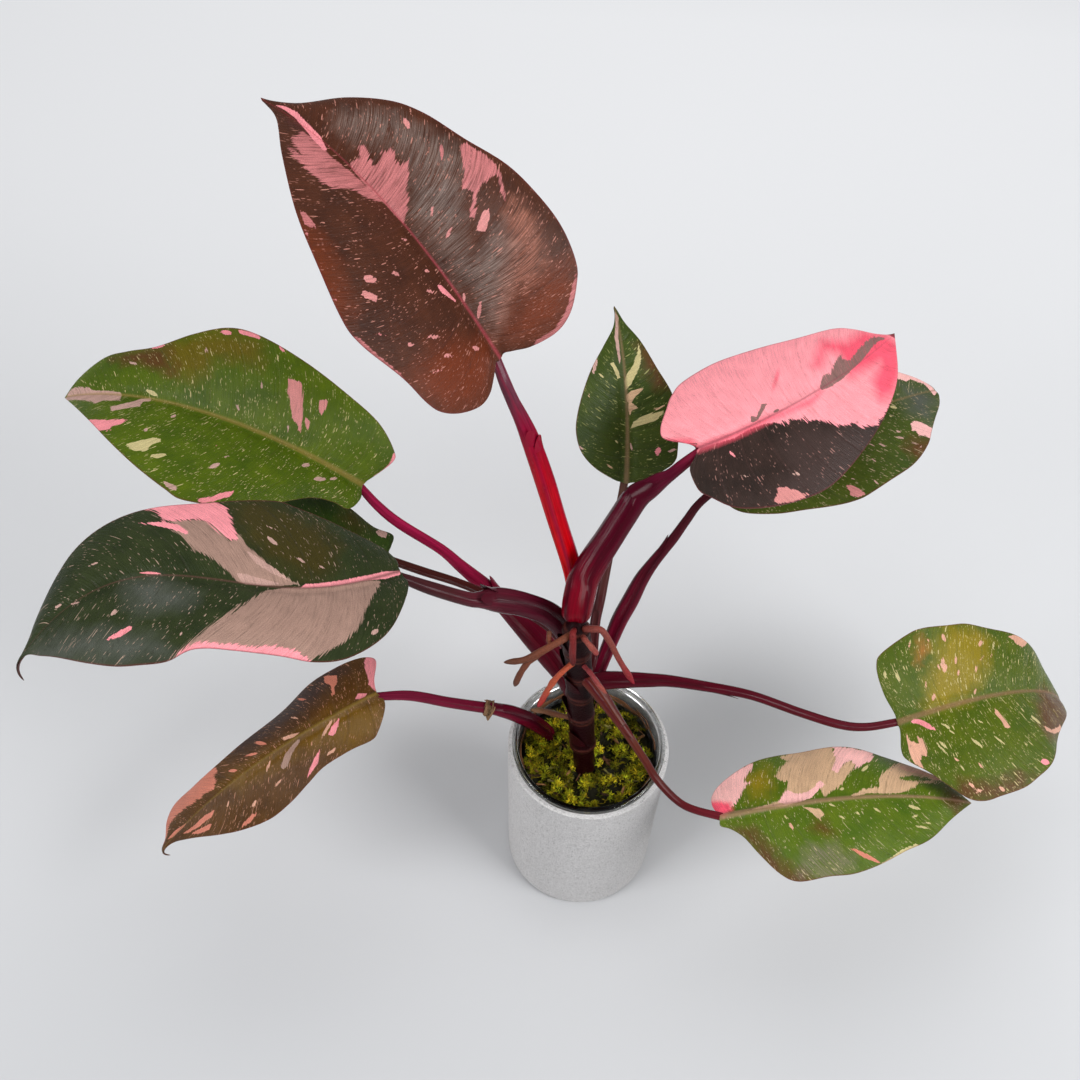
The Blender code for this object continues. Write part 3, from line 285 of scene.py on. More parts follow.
# Leaf looks: dark and light are the two ground colours, rib and vein the colours of the
# midrib and side veins, under the lower face, veins the number of side veins on a half.
# fleck is how many fine flecks there are and fleck_colour their colour. The larger
# markings follow in TRACED and HAND_SET.
LEAVES = {
    "01": dict(dark=(0.034, 0.011, 0.006), light=(0.092, 0.027, 0.012), rib=(0.42, 0.06, 0.08),
               vein=(0.13, 0.045, 0.030), under=(0.20, 0.035, 0.035), veins=11, fleck=0.5,
               fleck_colour=(0.5, 0.21, 0.16), rough=0.30, streaks=0.35),
    "02": dict(dark=(0.035, 0.07, 0.002), light=(0.098, 0.142, 0.003), rib=(0.28, 0.19, 0.045),
               vein=(0.12, 0.14, 0.02), under=(0.18, 0.12, 0.05), veins=11, fleck=0.6,
               fleck_colour=(0.56, 0.46, 0.22), rib_width=2.5, rib_share=0.6),
    "03": dict(dark=(0.013, 0.021, 0.006), light=(0.034, 0.045, 0.013), rib=(0.15, 0.06, 0.05),
               vein=(0.05, 0.05, 0.03), under=(0.14, 0.05, 0.05), veins=11, fleck=0.36,
               fleck_colour=(0.42, 0.29, 0.22), rough=0.34),
    "04": dict(dark=(0.012, 0.030, 0.004), light=(0.035, 0.065, 0.008), rib=(0.12, 0.12, 0.04),
               vein=(0.06, 0.08, 0.02), under=(0.14, 0.08, 0.05), veins=9, fleck=0.25,
               fleck_colour=(0.45, 0.35, 0.22)),
    "05": dict(dark=(0.054, 0.022, 0.006), light=(0.12, 0.05, 0.009), rib=(0.21, 0.13, 0.02),
               vein=(0.15, 0.08, 0.03), under=(0.20, 0.07, 0.04), veins=10, fleck=0.70,
               fleck_colour=(0.50, 0.24, 0.15), rib_width=1.8),
    "06": dict(dark=(0.020, 0.038, 0.006), light=(0.055, 0.080, 0.009), rib=(0.22, 0.14, 0.07),
               vein=(0.06, 0.08, 0.02), under=(0.14, 0.09, 0.05), veins=9, fleck=0.6,
               fleck_colour=(0.34, 0.34, 0.12), rib_width=2.2),
    "07": dict(dark=(0.014, 0.010, 0.008), light=(0.045, 0.024, 0.019), rib=(0.30, 0.07, 0.09),
               vein=(0.08, 0.04, 0.035), under=(0.34, 0.08, 0.09), veins=10, fleck=0.32,
               fleck_colour=(0.40, 0.20, 0.17)),
    "08": dict(dark=(0.03, 0.055, 0.006), light=(0.075, 0.1, 0.011), rib=(0.20, 0.14, 0.06),
               vein=(0.07, 0.09, 0.02), under=(0.15, 0.10, 0.05), veins=10, fleck=0.72,
               fleck_colour=(0.55, 0.42, 0.26), rib_width=2.2),
    "09": dict(dark=(0.038, 0.076, 0.002), light=(0.095, 0.122, 0.003), rib=(0.26, 0.13, 0.07),
               vein=(0.15, 0.16, 0.03), under=(0.20, 0.15, 0.06), veins=10, fleck=0.75,
               fleck_colour=(0.60, 0.50, 0.24), rib_width=2.5, rib_share=0.6),
    "10": dict(dark=(0.042, 0.094, 0.004), light=(0.112, 0.158, 0.007), rib=(0.33, 0.18, 0.11),
               vein=(0.12, 0.15, 0.03), under=(0.17, 0.10, 0.05), veins=10, fleck=0.6,
               fleck_colour=(0.55, 0.45, 0.26), rib_width=2.6, rib_share=0.65),
}

# Kinds of marking on the leaves as (colour, width of the border in millimetres). TINTS are
# soft changes of the ground under the flecks, some of them painted sheen, MARKS lie over
# the flecks in this order.
TINTS = {
    "red": ((0.155, 0.029, 0.008), 16), "ochre": ((0.250, 0.180, 0.008), 12),
    "umber": ((0.130, 0.092, 0.003), 12), "brown": ((0.100, 0.036, 0.010), 9),
    "olive": ((0.050, 0.038, 0.006), 12), "bronze": ((0.150, 0.075, 0.003), 12),
    # The coral tint in the line below is partly the leaf's own coral colour and partly painted
    # sheen.
    # The plum tint in the line below is the dark colour of leaf 7's half and, on leaf 5, painted
    # sheen.
    "plum_and_sheen": ((0.050, 0.030, 0.026), 12), "coral_and_sheen": ((0.400, 0.150, 0.100), 8),
    # The second tint in the line below is painted sheen, a streaked pale reflection, not leaf
    # colour.
    "orange": ((0.330, 0.130, 0.020), 6), "painted_sheen": ((0.250, 0.190, 0.165), 10),
    # The first tint in the line below is painted sheen, a soft reflection without streaks.
    "painted_soft_sheen": ((0.085, 0.092, 0.076), 16), "gold": ((0.250, 0.182, 0.006), 12),
}
MARKS = {
    "sand": ((0.600, 0.385, 0.230), 0.5), "cream": ((0.540, 0.460, 0.220), 0.5),
    "taupe": ((0.370, 0.230, 0.180), 0.5), "hotpink": ((0.970, 0.330, 0.370), 0.7),
    "blush": ((0.900, 0.480, 0.450), 0.6), "hot": ((0.900, 0.100, 0.160), 9),
    "greige": ((0.240, 0.130, 0.115), 0.5), "peach": ((0.680, 0.360, 0.250), 0.5),
    "salmon": ((0.620, 0.210, 0.140), 0.6), "rosy": ((0.630, 0.245, 0.230), 0.5),
    "rose": ((0.520, 0.170, 0.170), 0.8), "pale": ((0.520, 0.320, 0.270), 0.5),
    "pink": ((0.860, 0.280, 0.310), 0.6),
}

# Tints that lie in fine streaks along the side veins: painted sheen, and the coral
# tint that is partly painted sheen
COMBED = ("painted_sheen", "coral_and_sheen")

# Marks through which the ground shows in streaks, with how solid they are at least
STREAKY = {"rose": 0.50, "taupe": 0.88, "greige": 0.70, "sand": 0.85, "pale": 0.85}

# Markings traced in the photograph, by leaf, as (kind, outline). The outlines are
# in the photograph's pixels, right from its left edge and down from its top edge, and
# the script lays them on the flat blades through the camera.
TRACED = {
    "01": [
        ("pink", [(275, 106), (285, 106), (296, 111), (305, 120), (313, 129), (321, 138),
            (328, 150), (324, 150), (313, 139), (304, 128), (295, 119), (285, 111)]),
        ("rose", [(303, 130), (315, 140), (330, 156), (349, 170), (367, 186), (383, 202),
            (375, 200), (363, 195), (351, 189), (332, 187), (321, 180), (310, 172), (301, 162),
            (293, 155), (288, 147), (295, 150), (302, 155), (298, 148), (292, 138), (298, 136)]),
        ("rose", [(351, 164), (360, 158), (361, 146), (364, 145), (369, 154), (370, 165),
            (377, 164), (382, 156), (383, 148), (386, 152), (393, 147), (395, 158), (398, 165),
            (403, 165), (409, 160), (409, 176), (408, 194), (406, 210), (404, 224), (395, 215),
            (383, 202), (367, 186), (353, 170)]),
        ("rose", [(461, 142), (467, 141), (475, 148), (485, 154), (495, 164), (500, 170),
            (503, 182), (508, 199), (506, 202), (500, 190), (498, 176), (493, 174), (487, 178),
            (481, 188), (477, 196), (475, 210), (474, 218), (471, 216), (473, 202), (474, 190),
            (466, 190), (462, 184), (464, 170), (464, 156), (460, 148)]),
        ("rosy", [(488, 208), (490, 218), (485, 232), (477, 232), (479, 222), (484, 212)]),
        ("rosy", [(450, 226), (453, 230), (447, 240), (444, 238)]),
        ("rosy", [(403, 119), (409, 121), (410, 127), (404, 124)]),
        ("rosy", [(431, 205), (434, 205), (433, 216), (431, 216)]),
        ("rose", [(439, 143), (442, 143), (444, 158), (441, 158)]),
        ("rose", [(299, 210), (304, 211), (312, 219), (317, 228), (309, 228), (303, 221)]),
        ("rose", [(305, 231), (309, 232), (310, 236), (306, 236)]),
        ("rosy", [(362, 277), (370, 275), (379, 278), (374, 282), (366, 282)]),
        ("rosy", [(391, 271), (399, 273), (398, 276), (392, 275)]),
        ("rosy", [(357, 293), (366, 291), (379, 296), (376, 301), (366, 298)]),
        ("rose", [(332, 295), (338, 298), (336, 301), (333, 300)]),
        ("rosy", [(426, 289), (434, 290), (432, 294), (427, 293)]),
        ("pink", [(437, 284), (443, 286), (450, 293), (456, 300), (458, 303), (449, 298),
            (441, 291)]),
        ("rosy", [(424, 269), (429, 270), (429, 273), (425, 272)]),
        ("rose", [(374, 331), (382, 333), (388, 334), (386, 337), (377, 335)]),
        ("rosy", [(427, 336), (434, 335), (440, 336), (437, 339), (428, 340)]),
        ("rosy", [(443, 354), (453, 354), (451, 357), (444, 357)]),
        ("rosy", [(430, 370), (442, 369), (439, 372), (431, 374)]),
        ("rosy", [(479, 305), (483, 304), (480, 320), (477, 312)]),
        ("rosy", [(472, 345), (479, 347), (477, 350), (473, 349)]),
        ("rosy", [(463, 294), (466, 297), (465, 301), (463, 299)]),
        ("rosy", [(406, 342), (414, 344), (413, 346), (406, 345)]),
        ("rosy", [(401, 237), (407, 240), (406, 242), (401, 240)]),
        # Partly the leaf's own coral colour, partly painted sheen, streaked like a reflection.
        ("coral_and_sheen", [(512, 195), (530, 210), (542, 232), (546, 262), (536, 280), (515, 295),
            (500, 330), (494, 338), (494, 310), (500, 280), (504, 245), (506, 215)]),
        ("red", [(440, 345), (490, 340), (497, 380), (480, 405), (450, 414), (425, 402),
            (410, 380)]),
        ("red", [(500, 340), (520, 300), (545, 275), (572, 262), (577, 290), (560, 325),
            (530, 342)]),
        ("red", [(300, 225), (320, 240), (335, 270), (350, 310), (335, 320), (318, 280)]),
        # Painted sheen: a streaked reflection of the lights on the blade.
        ("painted_sheen", [(335, 112), (380, 110), (425, 128), (470, 160), (455, 175), (460, 230),
            (475, 260), (500, 225), (512, 250), (497, 330), (480, 310), (450, 262), (425, 232),
            (412, 215), (412, 160), (395, 145), (350, 140), (335, 125)]),
    ],
    "02": [
        ("pale", [(62, 388), (74, 387), (90, 387), (94, 390), (120, 392), (120, 400), (103, 400),
            (96, 403), (84, 400), (62, 399)]),
        ("pale", [(111, 407), (120, 405), (130, 402), (140, 399), (152, 398), (151, 401),
            (143, 401), (140, 406), (128, 408), (111, 411)]),
        ("pink", [(84, 419), (100, 420), (130, 420), (120, 424), (112, 426), (110, 429),
            (101, 430), (94, 431)]),
        ("cream", [(125, 443), (140, 440), (154, 438), (160, 439), (162, 441), (152, 445),
            (146, 451), (132, 450)]),
        ("cream", [(150, 453), (164, 452), (168, 454), (158, 457), (150, 457)]),
        ("cream", [(147, 389), (150, 390), (157, 395), (155, 397), (150, 395)]),
        ("rosy", [(290, 379), (296, 380), (303, 383), (304, 390), (303, 405), (302, 425),
            (301, 436), (297, 425), (293, 419), (291, 405), (289, 393)]),
        ("rosy", [(320, 400), (328, 399), (327, 405), (322, 417), (320, 411)]),
        ("pale", [(260, 383), (262, 381), (264, 391), (261, 391)]),
        ("rosy", [(305, 419), (308, 417), (309, 428), (306, 429)]),
        ("pale", [(287, 424), (289, 424), (289, 432), (287, 432)]),
        ("pink", [(238, 329), (250, 331), (262, 335), (262, 339), (250, 336), (240, 333)]),
        ("pink", [(220, 329), (231, 330), (230, 334), (223, 334)]),
        ("pink", [(280, 345), (285, 347), (284, 351), (280, 349)]),
        ("pink", [(152, 345), (163, 343), (160, 347), (152, 349)]),
        ("pink", [(374, 480), (384, 470), (391, 463), (394, 452), (400, 461), (397, 470),
            (382, 482)]),
        ("pink", [(196, 499), (210, 497), (220, 492), (234, 490), (230, 496), (212, 500),
            (200, 503)]),
        ("pale", [(163, 480), (175, 484), (178, 490), (171, 490), (164, 485)]),
        ("pale", [(209, 467), (220, 463), (221, 465), (211, 469)]),
        ("pink", [(212, 445), (218, 443), (220, 446), (215, 447)]),
        ("pale", [(315, 477), (326, 477), (326, 480), (317, 480)]),
        ("pale", [(224, 455), (229, 455), (228, 458), (225, 458)]),
        ("pale", [(204, 347), (206, 347), (208, 352), (206, 353)]),
        ("pale", [(130, 361), (136, 362), (135, 364), (131, 363)]),
        ("pale", [(144, 428), (148, 427), (147, 430), (144, 431)]),
        ("pale", [(171, 415), (176, 414), (175, 417), (171, 417)]),
        ("pale", [(237, 405), (239, 408), (240, 412), (238, 411)]),
        ("pale", [(330, 477), (337, 477), (336, 480), (331, 480)]),
        ("pale", [(302, 464), (310, 463), (308, 466), (303, 467)]),
        ("brown", [(110, 358), (140, 349), (166, 346), (176, 372), (160, 372), (140, 362),
            (124, 362)]),
        ("umber", [(160, 348), (185, 338), (215, 331), (240, 333), (262, 345), (262, 365),
            (240, 362), (215, 358), (205, 372), (195, 380), (176, 374), (166, 362)]),
    ],
    "03": [
        ("hotpink", [(140, 508), (158, 504), (180, 500), (194, 498), (213, 500), (226, 508),
            (229, 515), (233, 526), (238, 538), (231, 540), (220, 532), (206, 521), (196, 519),
            (164, 521), (160, 517), (156, 510)]),
        ("hotpink", [(137, 522), (148, 521), (164, 521), (178, 524), (188, 532), (187, 535),
            (180, 531), (168, 527), (153, 525)]),
        ("taupe", [(164, 521), (200, 519), (216, 526), (231, 540), (240, 533), (247, 545),
            (256, 553), (270, 566), (285, 576), (298, 584), (280, 586), (262, 585), (245, 584),
            (238, 581), (228, 570), (210, 556), (196, 552), (188, 545), (180, 535), (172, 530),
            (178, 525)]),
        ("pale", [(236, 572), (248, 573), (262, 578), (285, 583), (262, 585), (243, 583)]),
        ("pale", [(244, 550), (256, 555), (272, 567), (290, 580), (272, 574), (256, 563)]),
        ("taupe", [(266, 590), (283, 588), (308, 586), (328, 584), (358, 580), (381, 580),
            (378, 588), (371, 600), (362, 618), (356, 630), (343, 642), (330, 650), (313, 660),
            (283, 664), (233, 660), (206, 656), (188, 660), (170, 662), (183, 648), (194, 638),
            (218, 620), (240, 605), (256, 595)]),
        ("hotpink", [(403, 569), (385, 571), (360, 576), (330, 581), (305, 584), (300, 588),
            (330, 586), (362, 581), (385, 578), (400, 574)]),
        ("pink", [(140, 571), (158, 572), (160, 574), (150, 574), (140, 573)]),
        ("pink", [(105, 639), (120, 630), (130, 625), (132, 628), (121, 636), (108, 641)]),
        ("pale", [(89, 564), (99, 561), (98, 563), (90, 565)]),
        ("pale", [(110, 615), (115, 609), (118, 610), (114, 616)]),
        ("pale", [(297, 557), (307, 561), (305, 563), (298, 560)]),
        ("pale", [(268, 536), (277, 544), (275, 545), (268, 538)]),
        ("pale", [(268, 525), (278, 530), (277, 531), (268, 527)]),
        ("pale", [(370, 632), (377, 628), (379, 632), (374, 635)]),
        ("pale", [(320, 565), (325, 568), (323, 569)]),
        ("pale", [(179, 634), (183, 632), (182, 636)]),
        ("pale", [(55, 605), (61, 603), (59, 607)]),
        ("pale", [(70, 603), (80, 600), (78, 603)]),
        ("olive", [(232, 505), (262, 500), (290, 512), (320, 525), (340, 545), (330, 575),
            (300, 575), (270, 560), (250, 540), (238, 525)]),
        # Painted sheen: two soft reflections on the blade.
        ("painted_soft_sheen", [(40, 650), (60, 640), (150, 640), (168, 652), (120, 664), (40, 662)]),
        ("painted_soft_sheen", [(125, 585), (150, 578), (190, 592), (180, 606), (140, 612)]),
    ],
    "04": [
        ("olive", [(345, 508), (360, 512), (372, 528), (355, 530), (342, 520)]),
    ],
    "05": [
        ("salmon", [(213, 766), (217, 772), (213, 776), (216, 781), (214, 789), (205, 793),
            (195, 801), (183, 809), (175, 816), (169, 824), (167, 834), (163, 846), (158, 830),
            (161, 816), (164, 804), (178, 790), (192, 778), (206, 767)]),
        ("pink", [(363, 662), (366, 654), (378, 652), (380, 662), (376, 674), (379, 690),
            (369, 684), (366, 672)]),
        ("salmon", [(324, 676), (330, 675), (336, 675), (337, 682), (335, 687), (335, 694),
            (332, 696), (331, 690), (330, 685), (325, 682)]),
        ("pink", [(355, 698), (358, 693), (367, 693), (365, 697), (359, 699)]),
        ("taupe", [(281, 766), (285, 754), (293, 743), (299, 738), (300, 741), (293, 752),
            (287, 766), (283, 769)]),
        ("peach", [(322, 736), (327, 724), (333, 720), (329, 727), (324, 736)]),
        ("pink", [(329, 734), (332, 726), (339, 717), (338, 726), (335, 734), (331, 735)]),
        ("pink", [(307, 778), (313, 762), (319, 750), (321, 748), (318, 762), (313, 770)]),
        ("salmon", [(245, 754), (255, 752), (257, 754), (247, 756)]),
        ("salmon", [(256, 741), (265, 741), (265, 745), (260, 745)]),
        ("salmon", [(183, 833), (193, 826), (205, 815), (215, 809), (211, 816), (199, 826),
            (189, 832)]),
        ("salmon", [(191, 833), (203, 826), (211, 823), (209, 829), (199, 833)]),
        ("salmon", [(167, 839), (175, 830), (187, 822), (184, 826), (173, 836)]),
        ("salmon", [(242, 826), (247, 820), (255, 814), (254, 818), (246, 827)]),
        ("salmon", [(297, 698), (306, 698), (303, 701)]),
        ("salmon", [(229, 769), (236, 770), (231, 772)]),
        ("peach", [(328, 752), (336, 748), (334, 752), (328, 756)]),
        ("peach", [(282, 737), (290, 734), (300, 732), (294, 737), (284, 739)]),
        ("peach", [(251, 806), (257, 800), (256, 804), (252, 808)]),
        ("peach", [(275, 786), (278, 781), (280, 780), (278, 785)]),
        ("peach", [(266, 770), (269, 760), (270, 762), (268, 768)]),
        ("peach", [(225, 806), (229, 801), (228, 806)]),
        ("peach", [(290, 716), (297, 718), (292, 718)]),
        ("bronze", [(217, 785), (240, 772), (262, 757), (300, 735), (330, 712), (360, 702),
            (380, 700), (388, 715), (376, 738), (350, 752), (330, 745), (300, 752), (270, 770),
            (240, 788)]),
        # Painted sheen: a greyish reflection along the upper margin, drawn in the plum tint.
        ("plum_and_sheen", [(240, 725), (270, 705), (300, 680), (330, 662), (345, 670), (325, 695),
            (300, 715), (270, 738), (245, 752), (228, 758)]),
    ],
    "06": [
        ("pale", [(615, 311), (619, 317), (619, 338), (621, 359), (620, 364), (618, 356),
            (615, 338), (615, 324)]),
        ("cream", [(611, 363), (614, 362), (620, 373), (621, 378), (618, 379), (614, 370)]),
        ("cream", [(639, 343), (641, 351), (641, 363), (636, 376), (631, 383), (626, 391),
            (625, 381), (627, 373), (633, 366), (637, 353)]),
        ("sand", [(626, 396), (631, 391), (643, 388), (644, 389), (636, 396), (630, 403),
            (627, 401)]),
        ("sand", [(628, 403), (633, 404), (638, 407), (631, 410), (629, 416), (628, 410)]),
        ("cream", [(630, 428), (633, 421), (646, 415), (659, 411), (666, 411), (659, 416),
            (656, 421), (644, 425)]),
        ("sand", [(653, 410), (664, 405), (661, 407)]),
        ("pink", [(655, 454), (656, 448), (661, 448), (661, 454)]),
        ("pale", [(669, 451), (676, 448), (676, 450), (671, 453)]),
        ("pale", [(592, 373), (594, 361), (598, 359), (596, 373)]),
        ("cream", [(600, 373), (604, 377), (601, 377)]),
        ("cream", [(615, 440), (619, 443), (618, 444)]),
        ("sand", [(608, 465), (613, 468), (610, 468)]),
        ("pale", [(577, 446), (584, 448), (579, 449)]),
        ("pale", [(589, 465), (599, 471), (613, 479), (610, 483), (594, 473)]),
        ("pale", [(629, 444), (632, 446), (631, 450)]),
        ("sand", [(588, 393), (591, 396), (589, 397)]),
        ("brown", [(641, 343), (657, 360), (672, 390), (655, 388), (643, 362)]),
    ],
    "07": [
        ("hotpink", [(697, 452), (701, 448), (713, 444), (735, 437), (748, 430), (762, 424),
            (772, 422), (777, 424), (783, 424), (783, 421), (787, 422), (788, 419), (797, 420),
            (803, 420), (804, 417), (809, 421), (819, 419), (830, 423), (840, 426), (847, 425),
            (857, 422), (859, 426), (875, 426), (879, 422), (885, 413), (892, 404), (906, 390),
            (908, 335), (880, 320), (840, 318), (780, 328), (700, 358), (662, 395), (655, 440),
            (680, 452)]),
        ("greige", [(820, 388), (822, 377), (824, 373), (831, 374), (834, 365), (838, 356),
            (840, 354), (842, 359), (850, 360), (858, 350), (866, 341), (872, 336), (880, 336),
            (886, 338), (880, 340), (874, 345), (868, 352), (860, 362), (850, 371), (843, 378),
            (832, 385), (822, 390)]),
        ("greige", [(751, 421), (751, 415), (753, 415), (756, 417), (760, 408), (762, 403),
            (767, 403), (766, 407), (762, 413), (758, 420), (753, 422)]),
        ("greige", [(772, 411), (778, 408), (779, 411), (775, 413)]),
        ("rosy", [(773, 500), (777, 498), (778, 490), (776, 487), (783, 487), (797, 490),
            (808, 494), (805, 497), (792, 502), (778, 503)]),
        ("pink", [(729, 451), (732, 452), (736, 455), (733, 456), (730, 453)]),
        ("pale", [(793, 473), (800, 473), (799, 475), (794, 475)]),
        ("pale", [(742, 475), (747, 475), (745, 477)]),
        ("hot", [(845, 342), (862, 330), (885, 333), (903, 340), (902, 375), (893, 395),
            (880, 400), (872, 380), (880, 362), (860, 372), (850, 376), (838, 352), (826, 350),
            (820, 366), (814, 366), (822, 340)]),
        ("hot", [(773, 382), (778, 371), (778, 380), (774, 386)]),
        ("hot", [(668, 440), (690, 440), (699, 446), (712, 441), (735, 433), (760, 421),
            (790, 408), (815, 397), (822, 390), (812, 402), (790, 412), (762, 424), (735, 437),
            (712, 445), (698, 450), (680, 448)]),
        ("plum_and_sheen", [(800, 425), (840, 428), (875, 428), (880, 440), (862, 465), (835, 490),
            (800, 500), (775, 495), (790, 470), (780, 450)]),
    ],
    "08": [
        ("blush", [(911, 421), (914, 420), (921, 422), (927, 425), (936, 428), (936, 436),
            (924, 435), (919, 435), (916, 431), (911, 431)]),
        ("blush", [(896, 378), (899, 369), (910, 371), (921, 376), (930, 383), (938, 389),
            (934, 395), (930, 391), (924, 384), (916, 380), (910, 379), (905, 381)]),
        ("rosy", [(844, 485), (854, 486), (860, 490), (867, 494), (858, 496), (851, 496),
            (848, 494), (851, 491)]),
        ("pale", [(879, 442), (886, 446), (884, 447), (879, 444)]),
        ("pale", [(896, 430), (901, 430), (900, 433), (897, 432)]),
        ("cream", [(889, 415), (893, 417), (890, 419)]),
        ("cream", [(890, 405), (896, 406), (896, 409), (891, 407)]),
        ("pale", [(897, 436), (903, 437), (902, 439)]),
        ("cream", [(901, 401), (909, 404), (907, 405)]),
        ("pale", [(871, 458), (877, 460), (875, 462)]),
        ("pale", [(862, 456), (867, 458), (866, 460)]),
        ("pale", [(873, 480), (879, 483), (877, 484)]),
        ("pale", [(869, 443), (874, 445), (873, 446)]),
        ("pale", [(851, 478), (855, 479), (853, 480)]),
        ("pale", [(912, 442), (919, 443), (915, 444)]),
        ("pale", [(919, 446), (923, 445), (921, 447)]),
        ("brown", [(910, 437), (937, 437), (929, 452), (915, 458), (905, 450)]),
        # Painted sheen on the curled tip.
        ("painted_soft_sheen", [(900, 385), (925, 390), (936, 405), (930, 420), (910, 412)]),
    ],
    "09": [
        ("gold", [(925, 702), (928, 680), (935, 660), (940, 635), (950, 628), (975, 628),
            (992, 640), (987, 665), (978, 688), (965, 700), (945, 706), (930, 709)]),
        ("orange", [(916, 640), (924, 635), (927, 650), (922, 665), (917, 662)]),
        ("pink", [(911, 721), (915, 718), (922, 719), (928, 723), (937, 730), (930, 729),
            (923, 726), (918, 723), (913, 723)]),
        ("peach", [(906, 734), (909, 740), (915, 742), (920, 744), (916, 735), (923, 739),
            (928, 749), (927, 756), (922, 755), (920, 761), (925, 769), (916, 766), (910, 756),
            (907, 745)]),
        ("peach", [(941, 657), (944, 657), (944, 668), (941, 670)]),
        ("peach", [(945, 664), (948, 663), (947, 670), (944, 672)]),
        ("peach", [(937, 664), (939, 664), (940, 668), (937, 669)]),
        ("peach", [(954, 657), (958, 656), (957, 661), (955, 664)]),
        ("peach", [(978, 642), (982, 640), (983, 644), (979, 646)]),
        ("cream", [(992, 642), (995, 641), (994, 648), (992, 650)]),
        ("peach", [(908, 642), (911, 641), (911, 647), (908, 648)]),
        ("peach", [(927, 639), (929, 638), (929, 644), (927, 644)]),
        ("peach", [(942, 634), (944, 635), (946, 641), (943, 641)]),
        ("peach", [(974, 689), (977, 688), (976, 694), (974, 695)]),
        ("peach", [(932, 695), (936, 694), (934, 700), (932, 701)]),
        ("peach", [(958, 671), (960, 670), (959, 676), (957, 676)]),
        ("peach", [(975, 667), (977, 666), (977, 671), (975, 671)]),
        ("peach", [(981, 657), (984, 655), (983, 660), (981, 660)]),
        ("peach", [(990, 655), (992, 653), (991, 658)]),
        ("cream", [(883, 671), (885, 671), (886, 678), (884, 677)]),
        ("cream", [(895, 672), (898, 674), (901, 681), (898, 680)]),
        ("peach", [(1008, 636), (1015, 634), (1023, 636), (1028, 642), (1023, 647), (1016, 643),
            (1013, 639)]),
        ("peach", [(994, 708), (998, 711), (1006, 720), (1010, 727), (1006, 728), (1000, 720),
            (995, 713)]),
        ("cream", [(937, 743), (942, 747), (947, 753), (945, 753), (940, 748)]),
        ("cream", [(940, 741), (947, 747), (946, 749), (941, 744)]),
        ("cream", [(971, 738), (975, 739), (983, 746), (981, 747), (975, 743)]),
        ("cream", [(994, 735), (1000, 740), (1006, 743), (1004, 744), (997, 739)]),
        ("cream", [(978, 720), (984, 723), (981, 723)]),
        ("cream", [(943, 723), (951, 728), (950, 729), (945, 726)]),
        ("cream", [(950, 730), (955, 733), (953, 734)]),
        ("cream", [(1031, 715), (1036, 718), (1041, 723), (1039, 724), (1033, 719)]),
        ("peach", [(1044, 725), (1052, 729), (1058, 727), (1060, 724), (1064, 728), (1055, 734),
            (1047, 731)]),
        ("pink", [(1041, 759), (1046, 759), (1050, 762), (1044, 766), (1041, 762)]),
        ("peach", [(969, 782), (975, 785), (973, 788), (969, 785)]),
        ("peach", [(976, 789), (982, 790), (980, 793), (976, 792)]),
        ("peach", [(1000, 786), (1006, 789), (1004, 791), (999, 788)]),
        ("peach", [(979, 763), (985, 767), (982, 768)]),
        ("peach", [(955, 757), (960, 760), (958, 761)]),
        ("cream", [(961, 765), (965, 770), (963, 770)]),
        ("peach", [(925, 680), (927, 679), (927, 688), (925, 688)]),
        ("cream", [(902, 652), (904, 651), (904, 655), (902, 655)]),
        ("brown", [(1040, 688), (1062, 696), (1076, 712), (1064, 732), (1050, 740), (1040, 725),
            (1036, 705)]),
        ("brown", [(945, 796), (990, 802), (1015, 794), (1035, 775), (1020, 772), (1000, 782),
            (960, 780)]),
    ],
    "10": [
        ("blush", [(716, 816), (708, 810), (707, 797), (712, 786), (725, 775), (738, 768),
            (752, 763), (752, 769), (746, 775), (742, 781), (749, 782), (744, 787), (741, 795),
            (737, 802), (730, 808), (723, 813)]),
        ("sand", [(773, 776), (777, 772), (787, 760), (780, 757), (800, 747), (822, 744),
            (831, 745), (835, 755), (838, 758), (833, 765), (832, 770), (842, 765), (855, 758),
            (858, 761), (857, 765), (850, 773), (845, 778), (838, 788), (830, 792), (825, 797),
            (822, 790), (818, 789), (812, 797), (800, 802), (785, 806), (772, 807), (750, 810),
            (760, 807), (778, 801), (787, 787), (790, 781), (782, 780)]),
        ("blush", [(778, 802), (787, 790), (798, 794), (812, 790), (820, 780), (824, 784),
            (812, 797), (800, 802), (786, 805)]),
        ("blush", [(832, 744), (843, 746), (860, 748), (875, 751), (872, 760), (862, 765),
            (852, 771), (855, 765), (850, 759), (843, 765), (837, 772), (832, 770), (837, 760),
            (834, 754)]),
        ("sand", [(851, 795), (865, 789), (878, 786), (879, 778), (883, 772), (890, 767),
            (898, 762), (910, 760), (922, 766), (935, 772), (946, 779), (938, 781), (925, 777),
            (912, 775), (900, 777), (900, 779), (912, 781), (925, 780), (940, 781), (935, 783),
            (922, 782), (915, 785), (907, 791), (900, 793), (885, 793), (868, 793), (855, 796)]),
        ("peach", [(912, 764), (922, 769), (935, 774), (944, 780), (936, 779), (922, 774),
            (908, 771), (898, 768), (902, 764)]),
        ("sand", [(802, 806), (809, 807), (820, 809), (824, 814), (821, 816), (821, 821),
            (815, 816), (808, 810)]),
        ("cream", [(909, 805), (913, 805), (920, 808), (920, 810), (912, 808)]),
        ("cream", [(915, 825), (922, 826), (928, 828), (917, 828)]),
        ("cream", [(874, 807), (880, 810), (880, 812), (875, 809)]),
        ("cream", [(855, 811), (860, 814), (858, 815)]),
        ("peach", [(788, 823), (790, 823), (794, 829), (792, 830)]),
        ("cream", [(784, 815), (788, 817), (787, 819)]),
